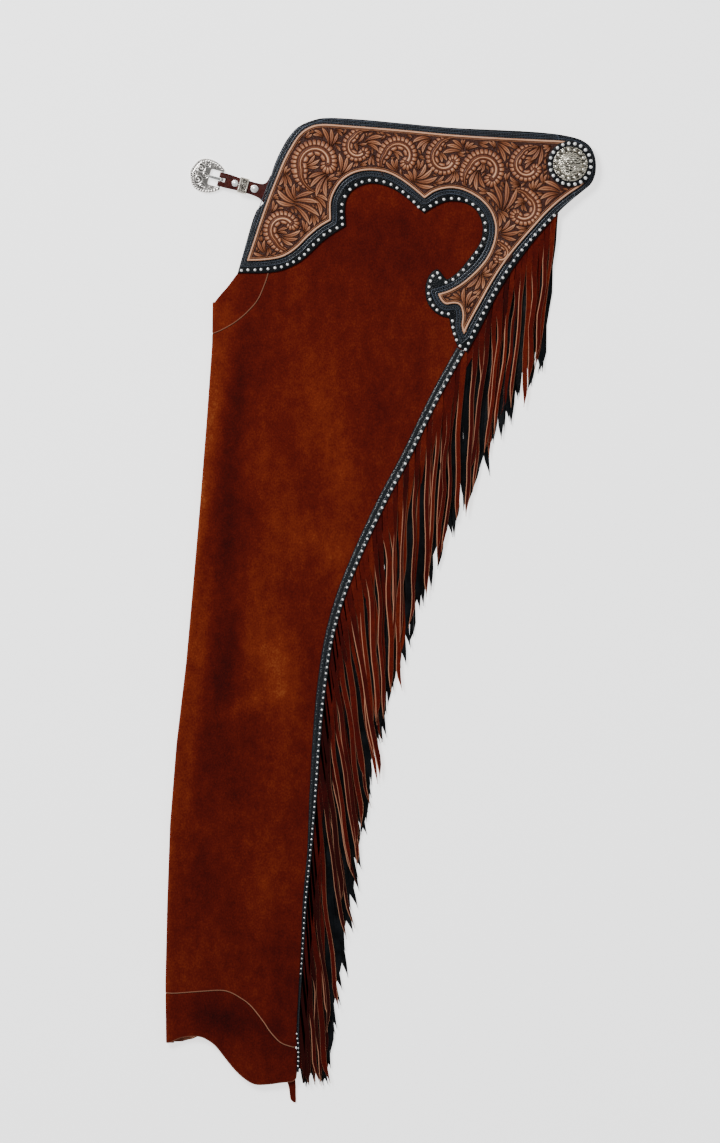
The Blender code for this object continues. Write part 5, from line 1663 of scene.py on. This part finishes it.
# Sections of the two border lines, and the tone at each of their corners
EDGE_BAND = [(-0.1, -0.3), (0.0, 0.62), (0.35, 0.86), (1.1, 0.9), (1.9, 0.8), (2.3, 0.1), (2.3, -0.3)]
THIN_LINE = [(2.75, -0.3), (2.85, 0.5), (3.15, 0.72), (3.5, 0.5), (3.6, -0.3)]
EDGE_TONES = [0.3, 0.8, 1.0, 0.98, 0.9, 0.2, 0.1]
THIN_TONES = [0.1, 0.7, 0.85, 0.7, 0.1]
band_parts = []
band_tones = []
line, _ = evenly(tooled_edge, 1.8, closed=True)
for section, tones in ((EDGE_BAND, EDGE_TONES), (THIN_LINE, THIN_TONES)):
    section = [(edge_side * across, rise) for across, rise in section]
    band_parts.append(strip(line, section, GROUND, closed=True))
    band_tones += tones * len(line)
points, faces = gathered([*band_parts, (carving.points, carving.faces)])
marks = {"tone": band_tones + carving.tones}
relief = new_piece("overlay_carving", points, faces, tooled, marks, smooth=60)
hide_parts("yoke_tooled")

# %% [markdown]
# ## Concho
#
# A concho is stamped from sheet silver: an engraved dome, a groove, a ring of pearls and a thin
# rim. A turned form suits it, so half of its outline is drawn once and spun round. The pearls are
# the same small dome as the spots, copied in a ring. It sits on a scalloped disc of black leather
# with a row of spots of its own. The engraving is fine, so it is left to the material: waves that
# are bent by noise run like cut scrolls, and dark paste stays in the low lines.


# %% Engraved silver
def engraved_material(name, colour, scale, cut):
    material, shader = new_material(name, colour, 0.2, 1.0)
    bends = pattern(material, "ShaderNodeTexNoise", scale * 0.9, Detail=2)
    scrolls = pattern(material, "ShaderNodeTexWave", scale, wave_type="RINGS", Distortion=9, Detail=2)
    scrolls.inputs["Detail Scale"].default_value = 1.6
    lines = math_node(material, "MULTIPLY", scrolls.outputs["Fac"], 0.7)
    lines = math_node(material, "ADD", lines, math_node(material, "MULTIPLY", bends.outputs["Fac"], 0.45))
    slope = [0.62 * value for value in colour]
    stops = [(cut, 0.030, 0.026, 0.021), (cut + 0.136, *slope), (cut + 0.3, *colour)]
    bright = colour_ramp(material, lines, stops)
    darkened = blended(material, mark(material, "dark"), bright, (0.03, 0.027, 0.023))
    join(material, darkened, shader.inputs["Base Color"])
    rough = math_node(material, "MULTIPLY", bends.outputs["Fac"], 0.3)
    join(material, math_node(material, "ADD", rough, 0.12), shader.inputs["Roughness"])
    bumped(material, shader, (lines, 0.5))
    return material


concho_silver = engraved_material("concho_silver", (0.86, 0.80, 0.66), 150, 0.38)


# %% Turned forms
def spun(name, profile, steps):
    """Half an outline, given as radius and height in millimetres, spun round into a closed form."""
    mesh = bpy.data.meshes.new(name)
    corners = [(radius, 0, height) for radius, height in profile]
    mesh.from_pydata(corners, [(number, number + 1) for number in range(len(corners) - 1)], [])
    form = bpy.data.objects.new(name, mesh)
    bpy.context.scene.collection.objects.link(form)
    nothing_selected()
    bpy.context.view_layer.objects.active = form
    form.select_set(True)
    bpy.ops.object.mode_set(mode="EDIT")
    bpy.ops.mesh.select_all(action="SELECT")
    bpy.ops.mesh.spin(steps=steps, angle=math.tau, center=(0, 0, 0), axis=(0, 0, 1))
    bpy.ops.mesh.select_all(action="SELECT")
    bpy.ops.mesh.remove_doubles(threshold=0.001)
    bpy.ops.mesh.normals_make_consistent(inside=False)
    bpy.ops.object.mode_set(mode="OBJECT")
    return taken(form)


# %% Concho
CONCHO_BOTTOM = ROSETTE_BOTTOM + ROSETTE_THICK + 0.3
PEARLS = 15
PEARL_RING = 15.8
# Height over radius of half the concho's section
CONCHO_PROFILE = [
    (0, 0), (18.4, 0), (18.9, 0.25), (19.0, 0.7), (18.6, 1.15), (18.0, 1.35), (17.8, 0.9), (15.6, 0.85),
    (13.9, 0.85), (13.4, 1.1), (13.1, 1.9), (12.2, 2.45), (10.0, 3.1), (7.5, 3.6), (4.0, 3.92),
    (0, 4.0),
]
points, faces = spun("concho_form", CONCHO_PROFILE, 64)
outward = np.hypot(points[:, 0], points[:, 1])
paste = np.where((outward > 13.2) & (outward < 17.9), 0.72, 0.0)
points = points + (*CONCHO_CENTRE, CONCHO_BOTTOM)
concho = new_piece("concho_dome", points, faces, concho_silver, {"dark": paste}, smooth=35)
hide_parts("concho")
pearl_places = []
for number in range(PEARLS):
    place = around_concho(PEARL_RING, math.tau * number / PEARLS)
    pearl_places.append((*place, CONCHO_BOTTOM + 0.7))
pearl_sizes = [2.5 if number % 3 else 2.1 for number in range(PEARLS)]
pearl_silver = silver_material("pearl_silver", (0.80, 0.75, 0.64), 0.24)
pearls = copies(spot_shape, np.array(pearl_places), sizes=pearl_sizes)
# The pearls get the same painted shade towards their feet
pearls = new_piece("concho_pearls", *pearls, pearl_silver, {"dark": np.tile(spot_rim_shade, PEARLS)})

# %% Rosette under the concho
rosette_edge = []
EDGE_STEPS = 8 * ROSETTE_LOBES
NOTCH = 1.1
for number in range(EDGE_STEPS):
    angle = math.tau * number / EDGE_STEPS
    reach = ROSETTE_RADIUS - NOTCH * (1 - abs(math.cos(angle * ROSETTE_LOBES / 2)))
    rosette_edge.append(around_concho(reach, angle))
rosette = leather_sheet(
    "rosette",
    np.array(rosette_edge),
    5.0,
    flat_face(ROSETTE_BOTTOM, ROSETTE_BOTTOM + ROSETTE_THICK),
    black_leather,
    [(0.7, 0.0, 0.0), (0.3, 0.1, 0.3), (0.0, 0.45, 1.0), (0.0, 1.0, 1.0)],
)
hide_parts("concho_rosette")

# %% [markdown]
# ## Front strap and buckle
#
# The strap is one strip of leather that narrows from the yoke to the buckle, turns round the
# buckle's bar with a slot for the tongue, and comes back underneath. The keeper and the tongue keep
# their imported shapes, in silver.
# The buckle is cast: a broad face with a rope edge and engraved scrolls, and two arms that hold
# the bar. It is built as a sheet whose height follows the relief, with a round bar through its
# arms, and it rides on its own body so that it swings.

# %% Where things are on the strap
STRAP_ANGLE = math.radians(15.2)
BAR_CENTRE = (-189.2, 474.0)
BAR_HEIGHT = 3.3
BAR_RADIUS = 1.25
# The strap's length from the bar to the yoke, and the height of its middle at both ends
STRAP_LENGTH = 51.4
MIDDLE_AT_BAR = 5.55
MIDDLE_AT_YOKE = 9.7
STRAP_THICK = 1.4
STRAP_RISE = (MIDDLE_AT_YOKE - MIDDLE_AT_BAR) / STRAP_LENGTH


def strap_place(along, across):
    """Ground place of a point past the buckle's bar, and across it."""
    cosine, sine = math.cos(STRAP_ANGLE), math.sin(STRAP_ANGLE)
    return BAR_CENTRE[0] - along * cosine + across * sine, BAR_CENTRE[1] + along * sine + across * cosine


def strap_middle(behind):
    return MIDDLE_AT_BAR + STRAP_RISE * behind


def strap_top(behind):
    return strap_middle(behind) + STRAP_THICK / 2


# %% Strap leather
strap_leather, shader = new_material("strap_leather", (0.05, 0.01, 0.005), 0.36)
blotches = pattern(strap_leather, "ShaderNodeTexNoise", 160, Detail=6, Roughness=0.65)
pores = pattern(strap_leather, "ShaderNodeTexVoronoi", 900, feature="DISTANCE_TO_EDGE")
colour = colour_ramp(
    strap_leather,
    blotches.outputs["Fac"],
    [(0.3, 0.014, 0.0006, 0.0003), (0.55, 0.042, 0.0030, 0.0012), (0.8, 0.080, 0.0110, 0.0040)],
)
join(strap_leather, colour, shader.inputs["Base Color"])
shader.inputs["Specular IOR Level"].default_value = 0.1
bumped(strap_leather, shader, (blotches.outputs["Fac"], 0.3), (pores.outputs["Distance"], 0.3))


def dress(node, material):
    """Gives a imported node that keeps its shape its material."""
    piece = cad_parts[node]
    piece.data.materials.clear()
    piece.data.materials.append(material)


dress("buckle_tongue", silver)
dress("strap_keeper", warm_silver)

# %% Strap as one strip of leather round the bar
# Distance behind the bar, lower edge, upper edge
STRAP_EDGES = [
    (STRAP_LENGTH, -12.6, 18.5), (50.3, -11.6, 12.6), (48.5, -10.6, 9.0), (46.0, -9.2, 7.2),
    (42.0, -8.2, 6.5), (36.0, -7.6, 6.4), (29.0, -7.4, 6.6), (20.0, -7.3, 6.9), (12.0, -7.6, 7.7),
    (6.0, -7.9, 8.0), (2.6, -7.8, 7.8), (0.0, -7.8, 7.8),
]
# The part under the strap: distance behind the bar, half its width
RETURN_HALVES = [(0, 7.8), (4.4, 7.2), (9, 6), (16, 6), (44, 6)]
HALF_AT_BAR = 7.8
TURN_RADIUS = 2.25
SLOT_HALF = 2.1
# The slot for the tongue ends so far behind the bar, above and below
SLOT_ABOVE = 6.0
SLOT_BELOW = 4.4
edges = np.array(STRAP_EDGES[::-1])


def strap_path():
    """Rows along the strap: place behind the bar, height, tilt, lower edge, upper edge, in the slot."""
    rows = []
    behinds = [51.62, 51.0, 50.3, 49.4, 48.5, 47.2, *np.arange(46, 6, -1.6), 6.0, 4.5, 3.0, 1.5]
    for behind in behinds:
        low, high = (float(np.interp(behind, edges[:, 0], edges[:, column])) for column in (1, 2))
        rows.append((behind, strap_middle(behind), 0.0, low, high, behind <= SLOT_ABOVE))
    for step in range(11):
        angle = math.pi * step / 10
        behind = -TURN_RADIUS * math.sin(angle)
        height = BAR_HEIGHT + TURN_RADIUS * math.cos(angle)
        rows.append((behind, height, angle, -HALF_AT_BAR, HALF_AT_BAR, True))
    for behind in [1.5, 3.0, 4.4, 6.5, 9.0, 12.0, 16.0, 22.0, 28.0, 36.0, 44.0]:
        half = table_value(RETURN_HALVES, behind)
        meet = strap_middle(behind) - 1.75
        height = 1.05 + (meet - 1.05) * smooth_step(behind / 16)
        rows.append((behind, height, math.pi, -half, half, behind <= SLOT_BELOW))
    return rows


rows = strap_path()
points = []
faces = []
shares = [0, 0.08, 0.16, 0.24, 0.5, 0.8, 1.0]
columns = 2 * len(shares) + 2
for behind, height, angle, low, high, _ in rows:
    left = [low + share * (-SLOT_HALF - low) for share in shares]
    right = [high - share * (high - SLOT_HALF) for share in shares][::-1]
    for number, across in enumerate([*left, -0.7, 0.7, *right]):
        from_edge = min(across - low, high - across)
        lift = -0.22 * math.exp(-(((from_edge - 1.35) / 0.35) ** 2)) + 0.12 * smooth_step(from_edge / 3)
        away = lift if angle < 1 else -lift
        points.append((*strap_place(-behind, across), height + away))
for row in range(len(rows) - 1):
    for column in range(columns - 1):
        middle = len(shares) - 1 <= column <= len(shares) + 1
        if middle and rows[row][5] and rows[row + 1][5]:
            continue
        first = row * columns + column
        faces.append([first, first + columns, first + columns + 1, first + 1])
strap = new_piece("belt_strap", points, faces, strap_leather, smooth=60)
wall = strap.modifiers.new("wall", "SOLIDIFY")
wall.thickness = STRAP_THICK * MM
wall.offset = 0
wall.use_even_offset = True
rounding = strap.modifiers.new("rounding", "BEVEL")
rounding.width = 0.35 * MM
rounding.segments = 2
rounding.limit_method = "ANGLE"
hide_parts("front_strap")

# %% Pull under the hem
# y, left edge, right edge, height of its underside
THONG = [
    (-517.2, -117.0, -107.2, 3.5), (-520, -116.2, -107.0, 3.1), (-525, -114.8, -106.8, 2.0),
    (-532, -113.8, -106.8, 0.9), (-538.5, -112.8, -106.6, 0.4), (-542.0, -109.4, -106.8, 0.4),
]


def thong_face(places, shares):
    low = table_value(THONG[::-1], places[:, 1], 3)
    return np.column_stack([places, low + 1.6 * (1 - shares)])


left_edge = open_line([(left, y, number in (0, 5)) for number, (y, left, _, _) in enumerate(THONG)], 1.2)
right_edge = open_line([(right, y, number in (0, 5)) for number, (y, _, right, _) in enumerate(THONG)], 1.2)
pull = leather_sheet(
    "hem_pull",
    np.concatenate([left_edge, right_edge[::-1]]),
    1.6,
    thong_face,
    hem_suede,
    [(0.55, 0.0, 0.0), (0.25, 0.12, 0.6), (0.0, 0.4, 1.0), (0.0, 0.7, 1.0), (0.25, 1.0, 0.6)],
)
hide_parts("hem_thong")

# %% Snaps
# Radius and height of half a snap's section, as shares of its radius
SNAP_PROFILE = [
    (0, 0), (0.96, 0), (1.0, 0.08), (0.98, 0.17), (0.86, 0.2), (0.84, 0.26), (0.74, 0.42), (0.5, 0.56),
    (0.22, 0.62), (0, 0.63),
]
for name, node, behind, across, radius in (
    ("front_snap_dome", "snap_front", 16.0, -0.2, 3.6),
    ("back_snap_dome", "snap_back", 38.3, -0.5, 4.2),
):
    points, faces = spun(name, [(radius * out, radius * up) for out, up in SNAP_PROFILE], 28)
    place = (*strap_place(-behind, across), strap_top(behind) + 0.3)
    points[:, 2] += STRAP_RISE * math.cos(STRAP_ANGLE) * points[:, 0]
    dome = new_piece(name, points + place, faces, spot_silver, smooth=40)
    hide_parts(node)

# %% Beads and scrolls on the keeper
KEEPER_MIDDLE = 25.4
BEAD_ROWS = (21.25, 29.55)
GROOVES = (22.4, 28.4)
LINE_SECTION = [(-0.5, -0.2), (-0.4, 0.2), (0.4, 0.2), (0.5, -0.2)]
BOX_FACES = [[0, 1, 2, 3], [7, 6, 5, 4], [0, 4, 5, 1], [1, 5, 6, 2], [2, 6, 7, 3], [3, 7, 4, 0]]
relief_parts = []
relief_dark = []


def add_relief(shape, dark):
    relief_parts.append(shape)
    relief_dark.extend([dark] * len(shape[0]))


for behind in BEAD_ROWS:
    height = strap_top(behind) + 1.6
    beads = [(*strap_place(-behind, across), height) for across in np.arange(-8.2, 7.9, 1.15)]
    add_relief(copies(spot_shape, np.array(beads), sizes=[0.62] * len(beads)), 0.0)
for middle, way in ((-5.0, 1), (-0.3, -1), (4.4, 1)):
    coil = []
    for share in np.linspace(0, 1, 22):
        angle = way * share * math.tau * 1.35 + 0.6
        reach = 2.2 * (1 - 0.75 * share)
        along = -KEEPER_MIDDLE + reach * 1.25 * math.cos(angle)
        coil.append(strap_place(along, middle + reach * math.sin(angle)))
    add_relief(strip(np.array(coil), LINE_SECTION, strap_top(KEEPER_MIDDLE) + 1.68), 1.0)
for behind in GROOVES:
    groove = np.array([strap_place(-behind, across) for across in (-8.3, -4, 0, 4, 7.9)])
    add_relief(strip(groove, LINE_SECTION, strap_top(behind) + 1.5), 1.0)
plate_corners = [(-8.4, 22.5), (8.0, 22.5), (8.0, 28.2), (-8.4, 28.2)]
plate = [(*strap_place(-behind, across), strap_top(behind) + 1.52) for across, behind in plate_corners]
plate += [(x, y, z - 0.2) for x, y, z in plate]
add_relief((plate, BOX_FACES), 0.0)
points, faces = gathered(relief_parts)
keeper_relief = new_piece("keeper_relief", points, faces, warm_silver, {"dark": relief_dark})

# %% Buckle
buckle_silver = silver_material("buckle_silver", (0.88, 0.84, 0.79), 0.26)
# One side of the rim, from an arm to the middle of the front: past the bar, across
BUCKLE_SIDE = [
    (-1.6, 10.8), (2.9, 14.4), (7.5, 16.8), (12.5, 18.2), (18, 18.6), (24, 17.4), (28.4, 14.8),
    (31.2, 11), (33.2, 6.6), (34.7, 2.6),
]
half = [tuple(place) for place in curve_through(list(np.array(BUCKLE_SIDE, float)), 0.5)]
half.append((35.2, 0.0))
rim_line = np.array(half + [(along, -across) for along, across in half[-2::-1]])
# One side of the window, from an arm to the middle of its front: past the bar, across
window_side = [
    (-1.6, 8.7), (3, 8.7), (7, 8.7), (11.6, 8.7), (12.7, 8.2), (13.2, 7.1), (13.2, 4.5), (13.2, 2),
]
window = [(along, -across) for along, across in window_side]
window += [(13.2, 0), *window_side[::-1]]
buckle_outline = np.array([*rim_line, *window])
buckle_cuts = {}


def buckle_face(places, shares):
    """The buckle's face with its rope edge and raised scrolls, and its flat back."""
    along, across = places[:, 0], places[:, 1]
    crown = np.maximum(1 - ((along - 23) / 12) ** 2 - (across / 19) ** 2, 0)
    from_rim = nearest_distance(places, rim_line)
    angle = np.arctan2(across, along - 18)
    strand = np.cos(angle * 38 + from_rim * 1.6)
    rope_band = np.exp(-(((from_rim - 1.5) / 1.1) ** 2))
    rope = 0.65 * rope_band * (0.5 + 0.5 * strand)
    inner_bead = 0.3 * np.exp(-(((from_rim - 3.6) / 0.45) ** 2))
    scrolls = np.zeros(len(places))
    near_scrolls = np.zeros(len(places))
    for middle_along, middle_across, size, way in BUCKLE_SCROLLS:
        reach = np.hypot(along - middle_along, across - middle_across)
        turn = np.arctan2(across - middle_across, along - middle_along)
        spiral = 0.5 + 0.5 * np.cos(reach / size * 9.5 + way * turn)
        scrolls += 0.8 * spiral**1.2 * smooth_step((1.35 - reach / size) * 2)
        near_scrolls = np.maximum(near_scrolls, smooth_step((1.3 - reach / size) * 3))
    scrolls *= smooth_step((from_rim - 3.8) / 0.8)
    engraved = smooth_step((from_rim - 3.4) / 0.6) * (0.55 + 0.45 * near_scrolls)
    dark = engraved * (1 - smooth_step((scrolls - 0.1) / 0.3))
    dark += 1.2 * rope_band * smooth_step(-2.5 * strand) + 0.5 * (from_rim < 0.4)
    buckle_cuts["dark"] = np.clip(dark * (shares < 0.5), 0, 0.97)
    top = 3.5 + 1.1 * crown + rope + inner_bead + scrolls
    bottom = 0.3 + 1.0 * smooth_step((3.2 - along) / 4.8)
    height = top - (top - bottom) * shares
    ground = np.array([strap_place(*place) for place in places])
    return np.column_stack([ground, height])


# Place past the bar, across it, size, and which way the scroll turns
BUCKLE_SCROLLS = [
    (24.5, 6.2, 5.0, 1), (24.5, -6.2, 5.0, -1), (18.4, 12.6, 3.6, -1), (18.4, -12.6, 3.6, 1),
    (29.6, 0.0, 3.2, 1), (18.2, 0.0, 3.6, -1), (8.5, 12.8, 2.6, 1), (8.5, -12.8, 2.6, -1),
]
buckle = leather_sheet(
    "buckle_face",
    buckle_outline,
    0.5,
    buckle_face,
    buckle_silver,
    [(0.7, 0.0, 0.0), (0.3, 0.12, 0.0), (0.0, 0.4, 0.0), (0.0, 1.0, 0.0)],
    body="buckle",
)
darkness = buckle.data.attributes.new("dark", "FLOAT", "POINT")
darkness.data.foreach_set("value", buckle_cuts["dark"])
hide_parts("buckle_frame")
bar_line = np.array([strap_place(0, across) for across in np.linspace(-9.6, 9.6, 9)])
turns = [math.tau * step / 16 for step in range(16)]
circle = [(BAR_RADIUS * math.cos(turn), BAR_RADIUS * math.sin(turn)) for turn in turns]
bar = new_piece("buckle_bar", *strip(bar_line, circle, BAR_HEIGHT), silver, body="buckle")

# %% [markdown]
# ## The layers underneath
#
# Folded chaps hide three more layers of suede: the near leg's inner side and both sides of the far
# leg. Seen from above only their edges count, and from below one flat skin. So a loop runs round
# all of them and a rim is carried along it, which steps out and in for each cut edge. At the front
# fold the same rim turns into one round fold, and a share that runs along the loop leads from one
# to the other.

# %% Rim of the hidden layers
# At a cut edge: height, inset, raw edge showing. At the fold: height, inset
LAYER_RIM = [
    (0.0, 3.3, 0.0, 0.0, 1.9), (0.2, 2.6, 0.7, 0.25, 1.2), (0.9, 2.3, 1.0, 0.9, 0.7),
    (1.6, 2.5, 0.7, 1.5, 0.5), (1.8, 3.1, 0.0, 1.8, 0.5), (1.85, 4.3, 0.0, 2.1, 0.55),
    (2.35, 4.3, 0.0, 2.4, 0.7), (2.4, 3.3, 0.0, 2.8, 1.0), (2.6, 2.8, 0.7, 3.1, 1.5),
    (3.2, 2.6, 1.0, 3.3, 2.2), (3.8, 2.8, 0.7, 3.3, 6.0), (4.0, 3.3, 0.0, 3.3, 9.6),
    (4.05, 4.9, 0.0, 4.2, 9.8), (4.55, 4.9, 0.0, 4.9, 9.9), (4.6, 4.1, 0.0, 5.1, 10.0),
    (4.9, 3.6, 0.7, 5.4, 10.2), (5.6, 3.5, 1.0, 5.9, 10.5), (6.3, 3.9, 0.7, 6.3, 10.8),
    (6.6, 4.8, 0.0, 6.6, 11.2),
]
FAR_HEM = (-246, -208, 5.5)
inside_suede = suede_material("suede_inside", 0.25)
far_hem = open_line(HEM_EDGE, 3.0)
middle = (FAR_HEM[0] + FAR_HEM[1]) / 2
reach = (FAR_HEM[1] - FAR_HEM[0]) / 2
far_hem[:, 1] -= FAR_HEM[2] * smooth_step(1.4 - 1.4 * np.abs(far_hem[:, 0] - middle) / reach)
far_hem = far_hem[far_hem[:, 0] > FOLD_LINE[0][1] + 16]
fold_rows = np.append(np.arange(FOLD_LINE[0][0], 320, 8.0), 330.0)
fold_side = np.column_stack([fold_x(fold_rows), fold_rows])
front_side = np.array(THIGH_EDGE[:0:-1], float)
waist_side = open_line(YOKE_WAIST, 4.0)
loop = np.concatenate([open_line(SEAM_LINE, 8.0), far_hem[-2::-1], fold_side, front_side, waist_side])[::-1]
past_fold = loop[:, 0] - fold_x(loop[:, 1]) - FOLD_RADIUS - FLAP - 2
past_flap = loop[:, 1] - THIGH_SEAM[-1][1] - 40
folded = (1 - smooth_step(past_fold / 22)) * (1 - smooth_step(past_flap / 12))
walked = lengths_along(loop)
points = []
raw = []
for number, (cut_height, cut_inset, bare, fold_height, fold_inset) in enumerate(LAYER_RIM):
    layer = number // 7
    shift = 0.3 * np.sin(walked / (31 + 9 * layer) + 2.1 * layer) * (1 - folded) + 0.3 * (1 - folded)
    insets = cut_inset + (fold_inset - cut_inset) * folded + shift
    heights = cut_height + (fold_height - cut_height) * folded
    ring = shifted_line(loop, insets, closed=True)
    points += [(*place, height) for place, height in zip(ring, heights)]
    raw += list(bare * (1 - folded))
count = len(loop)
faces = []
for ring in range(len(LAYER_RIM) - 1):
    faces += ring_faces(ring * count, (ring + 1) * count, count)
for ring in (0, len(LAYER_RIM) - 1):
    cap = np.array(points[ring * count : (ring + 1) * count])[:, :2]
    for face in filled(cap, []):
        corners = [ring * count + index for index in face]
        faces.append(corners[::-1] if ring == 0 else corners)
layers = new_piece("inner_layers", points, faces, inside_suede, {"raw": raw, "nap_and_shading": [0.5] * len(points)})
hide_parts("hidden_layers")
